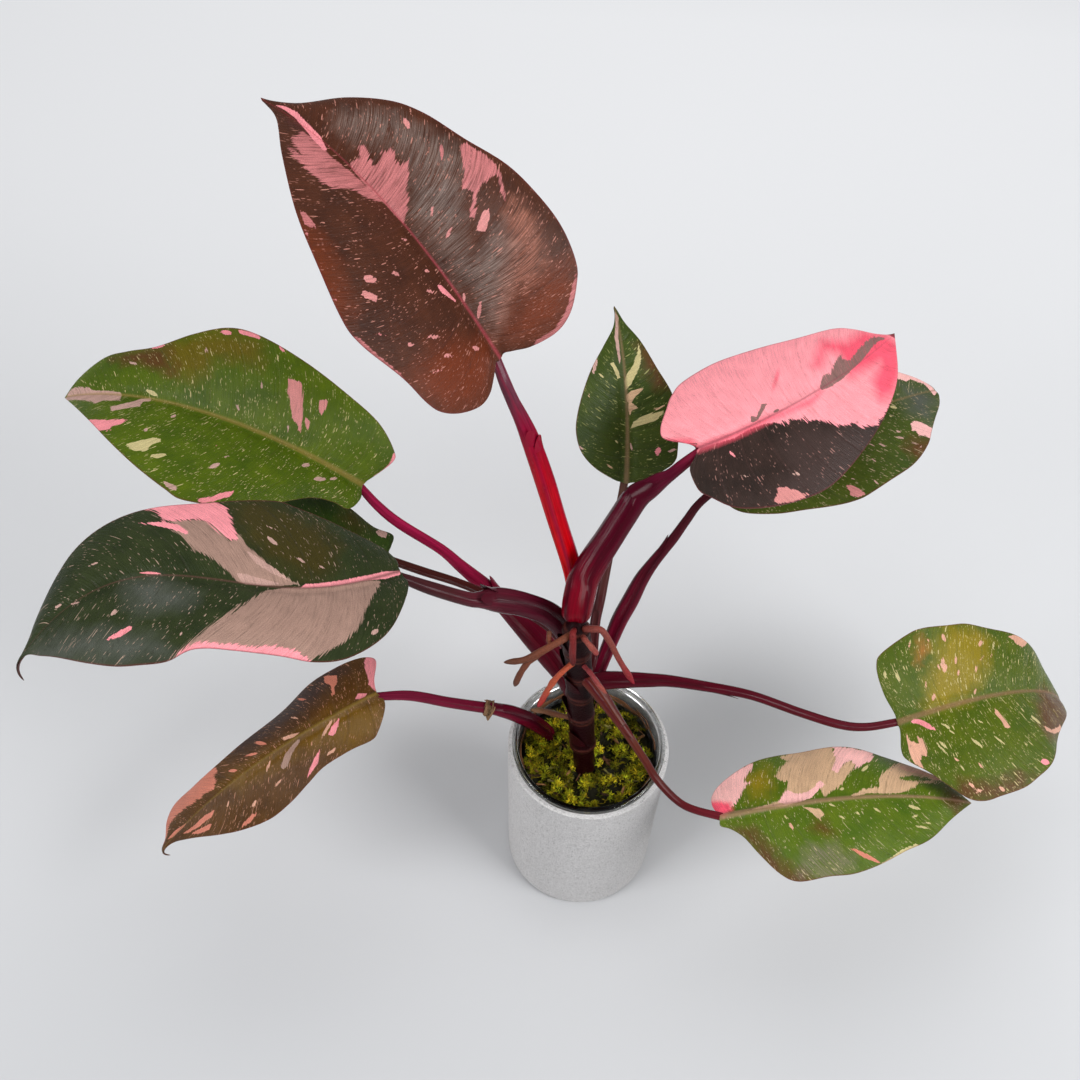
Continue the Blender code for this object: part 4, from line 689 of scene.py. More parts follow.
        ("cream", [(830, 803), (836, 805), (833, 807)]),
        ("cream", [(840, 815), (845, 818), (842, 819)]),
        ("cream", [(926, 821), (931, 822), (929, 824)]),
        ("cream", [(913, 815), (917, 815), (914, 818)]),
        ("cream", [(862, 766), (869, 766), (866, 770), (863, 771)]),
        ("cream", [(840, 788), (844, 787), (844, 790), (840, 790)]),
        ("salmon", [(850, 848), (855, 849), (870, 855), (882, 862), (878, 863), (863, 857),
            (855, 852)]),
        ("brown", [(815, 820), (825, 822), (834, 830), (825, 834), (814, 828)]),
        ("cream", [(878, 866), (888, 859), (902, 850), (915, 844), (922, 846), (906, 856),
            (892, 862)]),
        ("brown", [(948, 788), (966, 797), (970, 806), (958, 815), (946, 802)]),
        ("brown", [(736, 828), (752, 828), (768, 846), (780, 860), (800, 872), (815, 880),
            (810, 888), (785, 886), (762, 872), (745, 852)]),
        ("ochre", [(743, 776), (768, 768), (772, 790), (752, 798)]),
        # Painted sheen: a pale reflection on the lower half of the blade.
        ("painted_sheen", [(800, 850), (830, 843), (855, 855), (850, 880), (820, 888), (800, 875)]),
    ],
}

# Markings whose outlines were changed one by one on the flat blade, as (kind, outline) in
# millimetres along the midrib and out to its left
HAND_SET = {
    "01": [
        ("rose", [(56, 70), (52, 64), (41, 61), (27, 56), (27, 59), (40, 66), (53, 70)]),
        ("rose", [(13, -54), (7, -52), (-3, -43), (-8, -30), (-6, -17), (-3, -19), (-4, -30),
            (0, -39), (8, -48)]),
    ],
    "03": [
        ("hotpink", [(109, 49), (104, 44), (97, 42), (85, 41), (76, 40), (63, 38), (54, 41),
            (50, 46), (58, 48), (76, 50), (90, 52), (100, 53), (109, 56)]),
    ],
    "04": [
        ("pale", [(7, -15), (4, -18), (0, -15), (1, -11), (5, -12)]),
    ],
    "10": [
        ("hot", [(-4, 13), (-4, 5), (2, 0), (8, 3), (8, 8), (2, 11)]),
    ],
}

# How a traced marking is laid on a blade: the fineness of the search, how near two
# points of the blade count as one spot of the photograph, from how far beside the leaf a
# point counts as past its margin, and how far past it a patch may reach
TRACE_ROWS = 170
TRACE_COLUMNS = 70
SAME_SPOT = 0.5  # pixels
BESIDE_LEAF = 2.0  # pixels
NEAR_MARGIN = 0.9  # share of the way from the midrib
PIXELS_PER_MM = 1.8
FURTHEST_OUT = 8.0

# A marking with less than this area, in square millimetres, is a short stroke
STROKE_AREA = 16.0
STROKE_LENGTH = 1.4  # shortest stroke
STROKE_WIDTH = 0.9  # thinnest stroke

# Aerial roots: branches as (radius, centre line)
ROOTS = {
    "aerial_root_1": [
        (1.9, [(-13, 4, 240), (-18, -2, 243), (-29, -8, 240), (-39, -11, 234),
               (-50, -12, 232)]),
        (1.7, [(-32, -9, 237), (-38, -11, 230), (-42, -13, 220), (-44, -14, 212)]),
        (1.3, [(-26, -6, 241), (-27, -3, 241), (-27, 2, 243)])],
    "aerial_root_2": [
        (1.8, [(-14, 3, 243), (-14.8, -2, 247), (-14.5, -5, 242), (-14.2, -6, 234),
               (-13.5, -7, 224)])],
    "aerial_root_3": [
        (1.7, [(-10, 5, 241), (-5, 0, 249), (0, -2, 251), (5, -4, 243), (11, -7, 230),
               (20, -8, 210)])],
    "aerial_root_4": [
        (1.6, [(-11, 1, 218), (-18, -7, 219), (-23, -10, 213), (-27, -12, 203),
               (-31, -12, 188)])],
    "aerial_root_5": [(1.6, [(-11, 3, 240), (-6, -5, 242), (-1, -6, 234)])],
    "aerial_root_6": [(1.3, [(-9, 0, 216), (-4, -8, 219), (0, -13, 217), (5, -16, 212)])],
    "aerial_root_7": [
        (1.6, [(-6, -3, 163), (-15, -2, 162), (-27, 6, 153), (-35, 9, 149)])],
}
ROOT_COLOURS = [((0.150, 0.045, 0.024), (0.100, 0.040, 0.024)),
                ((0.160, 0.016, 0.016), (0.080, 0.008, 0.008)),
                ((0.200, 0.045, 0.035), (0.260, 0.008, 0.020)),
                ((0.400, 0.075, 0.035), (0.360, 0.006, 0.014)),
                ((0.260, 0.060, 0.045), (0.280, 0.045, 0.045)),
                ((0.220, 0.035, 0.038), (0.300, 0.070, 0.050)),
                ((0.130, 0.045, 0.020), (0.200, 0.100, 0.050))]
ROOT_SIDES = 14

HUSK_AT = 0.51
HUSK_WIDTH = 5.0
HUSK_THICKNESS = 0.8
HUSK_HANG = 11.0
HUSK_STRANDS = 58
HUSK_THREADS = 8  # the last of the strands, which hang down

# Stage: half the floor's side, and the lights as (name, place, aim, side, power, whether
# they show in glossy skins), in metres and watts
FLOOR_HALF = 4.0
LIGHTS = (
    ("front_right", (1.15, -0.60, 1.25), (0.05, 0.05, 0.2), 0.9, 22.0, True),
    ("front_left", (-1.20, -0.75, 1.05), (0.0, 0.05, 0.2), 0.8, 14.0, True),
    ("above", (0.0, 0.9, 2.3), (0.0, 0.35, 0.0), 2.0, 20.5, False),
)


# Shader helpers

def new_material(name):
    mat = bpy.data.materials.new(name)
    mat.use_nodes = True
    return mat, mat.node_tree, mat.node_tree.nodes["Principled BSDF"]


def feed(tree, socket, value):
    """Links value to the socket where it is a socket itself, and sets it otherwise."""
    if isinstance(value, bpy.types.NodeSocket):
        tree.links.new(value, socket)
    elif isinstance(value, tuple) and len(value) == 3 and len(socket.default_value) == 4:
        socket.default_value = (*value, 1.0)
    else:
        socket.default_value = value


def calc(tree, operation, a, b=0.0, c=0.0, clamp=False):
    node = tree.nodes.new("ShaderNodeMath")
    node.operation = operation
    node.use_clamp = clamp
    for socket, value in zip(node.inputs, (a, b, c)):
        feed(tree, socket, value)
    return node.outputs[0]


def ramp(tree, value, start, gain):
    """0 up to the start, then rising by the gain, and 1 at most."""
    return calc(tree, "MULTIPLY", calc(tree, "SUBTRACT", value, start), gain, clamp=True)


def mix(tree, factor, a, b, blend="MIX"):
    node = tree.nodes.new("ShaderNodeMix")
    node.data_type = "RGBA"
    node.blend_type = blend
    feed(tree, node.inputs["Factor"], factor)
    feed(tree, node.inputs["A"], a)
    feed(tree, node.inputs["B"], b)
    return node.outputs["Result"]


def shaded(tree, colour, level):
    """The colour times a level round 1."""
    grey = tree.nodes.new("ShaderNodeCombineColor")
    for socket in grey.inputs:
        tree.links.new(level, socket)
    return mix(tree, 1.0, colour, grey.outputs[0], "MULTIPLY")


def mesh_value(tree, name, output="Vector"):
    node = tree.nodes.new("ShaderNodeAttribute")
    node.attribute_name = name
    return node.outputs[output]


def stretch(tree, vector, x, y, z=1.0, shift=0.0):
    """The vector with its axes divided by the sizes x, y and z."""
    node = tree.nodes.new("ShaderNodeMapping")
    feed(tree, node.inputs["Vector"], vector)
    node.inputs["Scale"].default_value = (1 / x, 1 / y, 1 / z)
    node.inputs["Location"].default_value = (shift, shift * 0.7, 0)
    return node.outputs["Vector"]


def noise(tree, vector, scale=1.0, detail=2.0, roughness=0.5):
    node = tree.nodes.new("ShaderNodeTexNoise")
    feed(tree, node.inputs["Vector"], vector)
    node.inputs["Scale"].default_value = scale
    node.inputs["Detail"].default_value = detail
    node.inputs["Roughness"].default_value = roughness
    return node.outputs["Fac"]


def parts(tree, vector):
    node = tree.nodes.new("ShaderNodeSeparateXYZ")
    feed(tree, node.inputs[0], vector)
    return node.outputs


def spots(tree, vector, radius, chance):
    """Soft-edged spots, one in some cells of a Voronoi grid, as a mask from 0 to 1."""
    node = tree.nodes.new("ShaderNodeTexVoronoi")
    feed(tree, node.inputs["Vector"], vector)
    node.inputs["Scale"].default_value = 1.0
    random = parts(tree, node.outputs["Color"])
    size = calc(tree, "MULTIPLY", radius, calc(tree, "ADD", random[1], 0.35))
    inside = calc(tree, "SUBTRACT", size, node.outputs["Distance"])
    shape = calc(tree, "MULTIPLY", inside, 14.0, clamp=True)
    there = calc(tree, "LESS_THAN", random[0], chance)
    return calc(tree, "MULTIPLY", shape, there)


def bump(tree, height, distance, strength=1.0):
    node = tree.nodes.new("ShaderNodeBump")
    node.inputs["Strength"].default_value = strength
    node.inputs["Distance"].default_value = distance
    feed(tree, node.inputs["Height"], height)
    return node.outputs["Normal"]


def mark_mask(tree, kind, border, ragged):
    """1 inside the outlines of a kind of marking and 0 outside, with a ragged border."""
    inside = calc(tree, "ADD", mesh_value(tree, kind, "Fac"), ragged)
    return calc(tree, "MULTIPLY_ADD", inside, 1.0 / border, 0.5, clamp=True)


def leaf_material(name, looks, kinds):
    """Waxy leaf: ground colour, ragged patches, painted sheen, flecks, veins, midrib, paler
    underside.

    The mesh gives flat (along, out, 0), vein (across the veins, along them, distance to
    the nearest one), leaf (0 midrib to 1 margin, 0 base to 1 tip, 1 on the lower face)
    and, for each kind of marking, how far inside its outlines a point lies.
    """
    mat, tree, shader = new_material(name)
    flat = mesh_value(tree, "flat")
    vein = mesh_value(tree, "vein")
    across, share, under = parts(tree, mesh_value(tree, "leaf"))
    _, out, _ = parts(tree, flat)
    _, _, from_vein = parts(tree, vein)

    broad = noise(tree, stretch(tree, flat, 22, 16), detail=6, roughness=0.6)
    broad = ramp(tree, broad, 0.22, 1.8)
    colour = mix(tree, broad, looks["dark"], looks["light"])
    fine = noise(tree, stretch(tree, vein, 0.9, 13), detail=4, roughness=0.6)
    fine_shift = calc(tree, "SUBTRACT", fine, 0.5)
    streak = noise(tree, stretch(tree, vein, 2.6, 22, shift=5.0), detail=2)
    blot = noise(tree, stretch(tree, flat, 8, 8, shift=3.0), detail=3)
    grain = noise(tree, stretch(tree, flat, 0.42, 0.42), detail=3, roughness=0.6)
    cloud = calc(tree, "MULTIPLY", calc(tree, "SUBTRACT", blot, 0.5), 12.0)
    for kind in kinds:
        if kind in TINTS:
            tint, border = TINTS[kind]
            mask = mark_mask(tree, kind, border, cloud)
            # The combed tints carry painted sheen, laid in fine streaks along the veins.
            if kind in COMBED:
                hair = noise(tree, stretch(tree, vein, 0.45, 11, shift=8.0), detail=4)
                sheen_streaks = ramp(tree, hair, 0.34, 2.6)
                mask = calc(tree, "MULTIPLY", mask, sheen_streaks)
            colour = mix(tree, calc(tree, "MULTIPLY", mask, 0.9), colour, tint)

    line = calc(tree, "SUBTRACT", 1.0, calc(tree, "MULTIPLY", from_vein, 1.1), clamp=True)
    line = calc(tree, "MULTIPLY", line, 0.40)
    colour = mix(tree, line, colour, looks["vein"])

    flecks = ramp(tree, blot, 0.30, 2.4)
    chance = calc(tree, "MULTIPLY", flecks, looks["fleck"])
    small = spots(tree, stretch(tree, vein, 0.8, 1.8), 0.34, chance)
    large = spots(tree, stretch(tree, vein, 1.9, 5.0, shift=2.0), 0.30,
                  calc(tree, "MULTIPLY", chance, 0.55))
    long = spots(tree, stretch(tree, vein, 1.3, 11.0, shift=6.0), 0.24,
                 calc(tree, "MULTIPLY", chance, looks.get("streaks", 0.2)))
    speck = calc(tree, "MAXIMUM", calc(tree, "MULTIPLY", small, 0.60),
                 calc(tree, "MAXIMUM", calc(tree, "MULTIPLY", large, 0.90),
                      calc(tree, "MULTIPLY", long, 0.8)))
    speck = calc(tree, "MULTIPLY", speck, calc(tree, "ADD", streak, 0.45, clamp=True))
    colour = mix(tree, speck, colour, looks["fleck_colour"])

    ragged = calc(tree, "MULTIPLY", fine_shift, 5.0)
    ragged = calc(tree, "ADD", ragged,
                  calc(tree, "MULTIPLY", calc(tree, "SUBTRACT", streak, 0.5), 5.0))
    from_rib = calc(tree, "DIVIDE", calc(tree, "ABSOLUTE", out), 7.0, clamp=True)
    ragged = calc(tree, "MULTIPLY", ragged, from_rib)
    for kind in kinds:
        if kind in MARKS:
            tint, border = MARKS[kind]
            mask = mark_mask(tree, kind, border, ragged)
            deep = tuple(c * 0.80 for c in tint)
            patch = mix(tree, calc(tree, "MULTIPLY", blot, 1.6, clamp=True), deep, tint)
            back = spots(tree, stretch(tree, vein, 1.9, 4.5, shift=9.0), 0.30, 0.22)
            patch = mix(tree, calc(tree, "MULTIPLY", back, 0.5), patch,
                        tuple(c * 0.6 for c in tint))
            if kind in STREAKY:
                thin = calc(tree, "MULTIPLY_ADD", calc(tree, "SUBTRACT", fine, 0.36), 3.0,
                            STREAKY[kind], clamp=True)
                mask = calc(tree, "MULTIPLY", mask, thin)
            colour = mix(tree, mask, colour, patch)

    shade = calc(tree, "MULTIPLY_ADD", fine_shift, 0.75, 1.0)
    speckled = calc(tree, "MULTIPLY_ADD", calc(tree, "SUBTRACT", grain, 0.5), 1.5, 1.0)
    shade = calc(tree, "MULTIPLY", shade, speckled)
    shade = calc(tree, "SUBTRACT", shade, calc(tree, "MULTIPLY", line, 0.35))
    colour = shaded(tree, colour, shade)

    width = calc(tree, "SUBTRACT", looks.get("rib_width", 1.7),
                 calc(tree, "MULTIPLY", share, 1.2))
    rib = calc(tree, "SUBTRACT", width, calc(tree, "ABSOLUTE", out))
    rib = calc(tree, "MULTIPLY", rib, 0.75, clamp=True)
    colour = mix(tree, calc(tree, "MULTIPLY", rib, looks.get("rib_share", 0.75)), colour,
                 looks["rib"])
    rim = ramp(tree, across, 0.980, 50.0)
    colour = mix(tree, calc(tree, "MULTIPLY", rim, 0.6), colour, (0.14, 0.020, 0.022))
    colour = mix(tree, calc(tree, "MULTIPLY", under, 0.6), colour, looks["under"])
    feed(tree, shader.inputs["Base Color"], colour)

    gloss = calc(tree, "MULTIPLY_ADD", noise(tree, stretch(tree, vein, 1.2, 26), detail=3),
                 0.30, looks.get("rough", 0.30) - 0.12)
    feed(tree, shader.inputs["Roughness"], gloss)
    shader.inputs["Specular IOR Level"].default_value = looks.get("specular", 0.20)
    relief = calc(tree, "ADD", calc(tree, "MULTIPLY", fine, 0.6),
                  calc(tree, "MULTIPLY", line, -0.9))
    relief = calc(tree, "ADD", relief, calc(tree, "MULTIPLY", streak, 0.35))
    relief = calc(tree, "ADD", relief, calc(tree, "MULTIPLY", grain, 0.12))
    feed(tree, shader.inputs["Normal"], bump(tree, relief, 0.0009, 0.8))
    return mat


def stalk_material(name, rough=0.21):
    """Satin stalk skin: its mesh colour with fine dark and light lines along it."""
    mat, tree, shader = new_material(name)
    skin = mesh_value(tree, "skin")
    tint = mesh_value(tree, "tint", "Color")
    lines = noise(tree, stretch(tree, skin, 0.9, 22), detail=3)
    blot = noise(tree, stretch(tree, skin, 4, 9, shift=4.0), detail=3)
    lines = calc(tree, "MULTIPLY_ADD", calc(tree, "SUBTRACT", lines, 0.5), 1.3, 1.0)
    colour = shaded(tree, tint, lines)
    darker = ramp(tree, blot, 0.5, 3.0)
    colour = mix(tree, calc(tree, "MULTIPLY", darker, 0.35), colour, (0.03, 0.002, 0.006))
    feed(tree, shader.inputs["Base Color"], colour)
    gloss = calc(tree, "MULTIPLY_ADD", blot, 0.25, rough - 0.1)
    feed(tree, shader.inputs["Roughness"], gloss)
    shader.inputs["Specular IOR Level"].default_value = 0.13
    feed(tree, shader.inputs["Normal"], bump(tree, lines, 0.0003, 0.5))
    return mat


def skin_material(name, dark, light, rough, grain=1.5, depth=0.0005):
    """Rough natural skin in object space: two colours by noise, with a fine bump."""
    mat, tree, shader = new_material(name)
    place = tree.nodes.new("ShaderNodeTexCoord").outputs["Object"]
    coarse = noise(tree, stretch(tree, place, grain * 4 * MM, grain * 4 * MM, grain * 4 * MM),
                   detail=4, roughness=0.6)
    fine = noise(tree, stretch(tree, place, grain * MM, grain * MM, grain * MM), detail=4,
                 roughness=0.7)
    share = ramp(tree, calc(tree, "ADD", coarse, fine), 0.75, 2.0)
    feed(tree, shader.inputs["Base Color"], mix(tree, share, dark, light))
    level = calc(tree, "MULTIPLY_ADD", fine, 0.2, rough - 0.1)
    feed(tree, shader.inputs["Roughness"], level)
    feed(tree, shader.inputs["Normal"], bump(tree, fine, depth, 0.8))
    return mat


def tinted_material(name, rough, speckle=0.35, depth=0.0003, specular=0.15):
    """A rough material whose colour is the mesh's own tint, broken up by noise."""
    mat, tree, shader = new_material(name)
    place = tree.nodes.new("ShaderNodeTexCoord").outputs["Object"]
    grain = noise(tree, stretch(tree, place, 0.8 * MM, 0.8 * MM, 0.8 * MM), detail=3)
    level = calc(tree, "MULTIPLY_ADD", calc(tree, "SUBTRACT", grain, 0.5), 4 * speckle, 1.0)
    colour = shaded(tree, mesh_value(tree, "tint", "Color"), level)
    feed(tree, shader.inputs["Base Color"], colour)
    gloss = calc(tree, "MULTIPLY_ADD", grain, 0.2, rough - 0.1)
    feed(tree, shader.inputs["Roughness"], gloss)
    shader.inputs["Specular IOR Level"].default_value = specular
    feed(tree, shader.inputs["Normal"], bump(tree, grain, depth, 0.6))
    return mat


def concrete_material():
    """Pale fibre concrete: cloudy grey, fine dark and light specks, short pale fibres."""
    mat, tree, shader = new_material("fibre_concrete")
    place = tree.nodes.new("ShaderNodeTexCoord").outputs["Object"]
    cloud = noise(tree, stretch(tree, place, 9 * MM, 9 * MM, 9 * MM), detail=5, roughness=0.6)
    grain = noise(tree, stretch(tree, place, 0.55 * MM, 0.55 * MM, 0.55 * MM), detail=3)
    fibre = noise(tree, stretch(tree, place, 2.2 * MM, 2.2 * MM, 0.35 * MM, shift=7.0), detail=2)
    colour = mix(tree, cloud, (0.80, 0.78, 0.78), (0.93, 0.915, 0.915))
    rough = ramp(tree, grain, 0.40, 3.6)
    colour = mix(tree, calc(tree, "MULTIPLY", calc(tree, "SUBTRACT", 1.0, rough), 0.70),
                 colour, (0.50, 0.49, 0.485))
    dark = spots(tree, stretch(tree, place, 1.6 * MM, 1.6 * MM, 1.6 * MM), 0.30, 0.22)
    light = spots(tree, stretch(tree, place, 1.2 * MM, 1.2 * MM, 1.2 * MM, shift=3.0), 0.34, 0.35)
    colour = mix(tree, calc(tree, "MULTIPLY", dark, 0.45), colour, (0.30, 0.29, 0.28))
    colour = mix(tree, calc(tree, "MULTIPLY", light, 0.5), colour, (0.80, 0.79, 0.78))
    pale = ramp(tree, fibre, 0.56, 6.0)
    colour = mix(tree, calc(tree, "MULTIPLY", pale, 0.4), colour, (0.84, 0.83, 0.82))
    upright = noise(tree, stretch(tree, place, 0.35 * MM, 0.35 * MM, 2.4 * MM), detail=2)
    level = noise(tree, stretch(tree, place, 2.4 * MM, 2.4 * MM, 0.3 * MM), detail=2)
    thread = calc(tree, "MAXIMUM", upright, level)
    thread = ramp(tree, thread, 0.57, 7.0)
    colour = mix(tree, calc(tree, "MULTIPLY", thread, 0.60), colour, (0.33, 0.32, 0.315))
    feed(tree, shader.inputs["Base Color"], colour)
    shader.inputs["Roughness"].default_value = 0.92
    shader.inputs["Specular IOR Level"].default_value = 0.25
    height = calc(tree, "ADD", calc(tree, "MULTIPLY", grain, 0.7), fibre)
    height = calc(tree, "SUBTRACT", height, calc(tree, "MULTIPLY", dark, 0.6))
    feed(tree, shader.inputs["Normal"], bump(tree, height, 0.0011, 0.9))
    return mat


def clear_material():
    """Clear plastic of the inner pot, faintly clouded."""
    mat, tree, shader = new_material("clear_plastic")
    place = tree.nodes.new("ShaderNodeTexCoord").outputs["Object"]
    cloud = noise(tree, stretch(tree, place, 6 * MM, 6 * MM, 2 * MM), detail=3)
    level = calc(tree, "MULTIPLY_ADD", cloud, 0.12, 0.02)
    feed(tree, shader.inputs["Roughness"], level)
    shader.inputs["Base Color"].default_value = (0.93, 0.95, 0.95, 1.0)
    shader.inputs["Transmission Weight"].default_value = 1.0
    shader.inputs["IOR"].default_value = 1.45
    feed(tree, shader.inputs["Normal"], bump(tree, cloud, 0.0001, 0.3))
    return mat


# Mesh helpers

def join(points, faces, more, more_faces):
    """Adds another mesh to the lists of points and faces."""
    faces += [tuple(v + len(points) for v in face) for face in more_faces]
    points += more.tolist()


def add_piece(name, points, faces, mat, replaces=(), values=None, angle=50):
    """One object from points in millimetres, with named values on its points."""
    mesh = bpy.data.meshes.new(name)
    mesh.from_pydata((np.asarray(points, float) * MM).tolist(), [], faces)
    bm = bmesh.new()
    bm.from_mesh(mesh)
    bmesh.ops.recalc_face_normals(bm, faces=bm.faces)
    bm.to_mesh(mesh)
    bm.free()
    for key, data in (values or {}).items():
        data = np.asarray(data, float)
        kind = {1: "FLOAT", 3: "FLOAT_VECTOR", 4: "FLOAT_COLOR"}[data.shape[1] if data.ndim > 1
                                                                 else 1]
        layer = mesh.attributes.new(key, kind, "POINT")
        field = {"FLOAT": "value", "FLOAT_VECTOR": "vector", "FLOAT_COLOR": "color"}[kind]
        layer.data.foreach_set(field, data.ravel())
    mesh.shade_smooth()
    mesh.set_sharp_from_angle(angle=math.radians(angle))
    mesh.materials.append(mat)
    obj = bpy.data.objects.new(name, mesh)
    bpy.context.scene.collection.objects.link(obj)
    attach(obj, "root")
    if replaces:
        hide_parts(*replaces)
    return obj


def smooth_route(points, count):
    """A smooth curve through the points, read at count even steps of its length."""
    p = np.array(points, float)
    p = np.vstack([2 * p[0] - p[1], p, 2 * p[-1] - p[-2]])
    fine = []
    for i in range(1, len(p) - 2):
        for t in np.linspace(0, 1, 12, endpoint=False):
            a = 2 * p[i]
            b = p[i + 1] - p[i - 1]
            c = 2 * p[i - 1] - 5 * p[i] + 4 * p[i + 1] - p[i + 2]
            d = 3 * p[i] - 3 * p[i + 1] + p[i + 2] - p[i - 1]
            fine.append(0.5 * (a + b * t + c * t * t + d * t ** 3))
    fine = np.array(fine + [p[-2]])
    steps = np.linalg.norm(np.diff(fine[:, :3], axis=0), axis=1)
    along = np.r_[0, np.cumsum(steps)]
    wanted = np.linspace(0, along[-1], count)
    return np.stack([np.interp(wanted, along, fine[:, k]) for k in range(fine.shape[1])], 1)


def section_axes(path, level=True):
    """For each point of the path: its direction, its upper side and its left side."""
    tangent = np.gradient(path, axis=0)
    tangent /= np.linalg.norm(tangent, axis=1)[:, None]
    up = np.tile([0.0, 0.0, 1.0] if level else [0.31, 0.87, 0.39], (len(path), 1))
    for i, direction in enumerate(tangent):
        if i and not level:
            up[i] = up[i - 1]
        up[i] -= direction * np.dot(up[i], direction)
        up[i] /= np.linalg.norm(up[i])
    return tangent, up, np.cross(up, tangent)


def ring_faces(rings, sides, first=0, caps=True):
    """Faces of a tube through rings of points that are numbered one ring after another."""
    faces = []
    for i in range(rings - 1):
        for k in range(sides):
            a, b = first + i * sides + k, first + i * sides + (k + 1) % sides
            faces.append((a, b, b + sides, a + sides))
    if caps:
        faces.append(tuple(range(first, first + sides))[::-1])
        faces.append(tuple(range(first + (rings - 1) * sides, first + rings * sides)))
    return faces


def round_tube(route, radius, sides, count, rough=0.0, seed=1, tip=0.15):
    """Points, faces and share along of a round tube whose end is rounded off.

    radius is a number or a function of the centre point. rough varies it along the tube.
    """
    random = np.random.default_rng(seed)
    path = smooth_route(route, count)
    _, up, side = section_axes(path, level=False)
    share = np.linspace(0, 1, count)
    uneven = np.interp(share, np.linspace(0, 1, 12), random.normal(0, rough, 12))
    angle = np.linspace(0, 2 * math.pi, sides, endpoint=False)
    end = np.sqrt(np.clip((1 - share) / tip, 0.02, 1))
    points = []
    for i, centre in enumerate(path):
        r = radius(centre) if callable(radius) else radius
        r = r * end[i] * (1 + uneven[i])
        wobble = 1 + rough * 0.5 * np.sin(3 * angle + 9 * share[i] + seed)
        points.append(centre + (r * wobble * np.cos(angle))[:, None] * side[i]
                      + (r * wobble * np.sin(angle))[:, None] * up[i])
    return np.concatenate(points), ring_faces(count, sides), np.repeat(share, sides)


def revolve(profile, segments):
    """Points and quads of a closed profile of (radius, height) turned about Z."""
    angle = np.linspace(0, 2 * math.pi, segments, endpoint=False)
    points = []
    for r, z in profile:
        points += [(r * math.cos(a), r * math.sin(a), z) for a in angle]
    faces = []
    count = len(profile)
    for i in range(count):
        for k in range(segments):
            a, b = i * segments + k, i * segments + (k + 1) % segments
            j = (i + 1) % count
            c, d = j * segments + k, j * segments + (k + 1) % segments
            faces.append((a, b, d, c))
    return points, faces


def rounded(corners, radius, steps=5):
    """An open profile through the corners, each one rounded off."""
    out = [corners[0]]
    for before, here, after in zip(corners, corners[1:], corners[2:]):
        here = np.array(here, float)
        a, b = np.array(before) - here, np.array(after) - here
        la, lb = np.linalg.norm(a), np.linalg.norm(b)
        cut = min(radius, la / 2.1, lb / 2.1)
        start, stop = here + a / la * cut, here + b / lb * cut
        for t in np.linspace(0, 1, steps):
            out.append(tuple((1 - t) ** 2 * start + 2 * t * (1 - t) * here + t * t * stop))
    out.append(corners[-1])
    return out


# Leaves

def blade_axes(spec):
    """The blade's direction, upper side and left side where the stalk meets it."""
    az, el = math.radians(spec["azimuth"]), math.radians(spec["elevation"])
    roll = math.radians(spec["roll"])
    along = np.array([math.cos(el) * math.cos(az), math.cos(el) * math.sin(az), math.sin(el)])
    upper = np.array([-math.sin(el) * math.cos(az), -math.sin(el) * math.sin(az), math.cos(el)])
    left = np.cross(upper, along)
    return (along, upper * math.cos(roll) + left * math.sin(roll),
            left * math.cos(roll) - upper * math.sin(roll))


def blade_points(spec, x, y, across, share):
    """Places of the flat blade's points (x, y) on the bent blade, as arrays."""
    along, upper, left = blade_axes(spec)
    length = spec["length"]
    total = length + spec["tail"]
    steps = np.linspace(0, total, 400)
    turn = math.radians(spec["droop"]) * np.clip(steps / length, 0, 1) ** spec["bend"]
    turn += math.radians(spec["tail_curl"]) * np.clip((steps - length) / spec["tail"], 0, 1)
    step = steps[1]
    run = np.r_[0, np.cumsum((np.cos(turn[1:]) + np.cos(turn[:-1])) / 2) * step]
    fall = np.r_[0, np.cumsum((np.sin(turn[1:]) + np.sin(turn[:-1])) / 2) * step]
    forward = np.maximum(x, 0)
    ahead = np.minimum(x, 0) + np.interp(forward, steps, run)
    down = np.interp(forward, steps, fall)
    here = np.interp(forward, steps, turn)
    u = np.clip(x / length, 0, total / length)
    bent = np.minimum(u, 1)
    fold = math.radians(spec["fold"]) * (1 - 0.35 * bent)
    out = np.abs(y)
    lift = out * np.sin(fold) - spec["curl"] * out ** 2 / 100
    lift += spec["puff"] * across * (1 - across) * 4 * np.sin(math.pi * share)
    height, count, phase = spec["wave"]
    side = np.where(y > 0, 0.0, 0.5)
    lift += (height * across ** 2 * np.sin(math.pi * share)
             * np.sin(2 * math.pi * (count * share + phase + side)))
    shift = (spec["sweep"] * u ** 2 + spec["s_bend"] * np.sin(2 * math.pi * bent)) * length
    outward = y * np.cos(fold) + shift
    place = np.array(spec["base"], float) + ahead[..., None] * along - down[..., None] * upper
    place = place + outward[..., None] * left
    return place + lift[..., None] * (np.sin(here)[..., None] * along
                                      + np.cos(here)[..., None] * upper)


def margin(spec, side, rows):
    total = spec["length"] + spec["tail"]
    flat = smooth_route([(0, 0)] + spec[side] + [(total, 0)], rows + 1)
    flat[:, 1] = np.maximum(flat[:, 1], 0)
    return flat


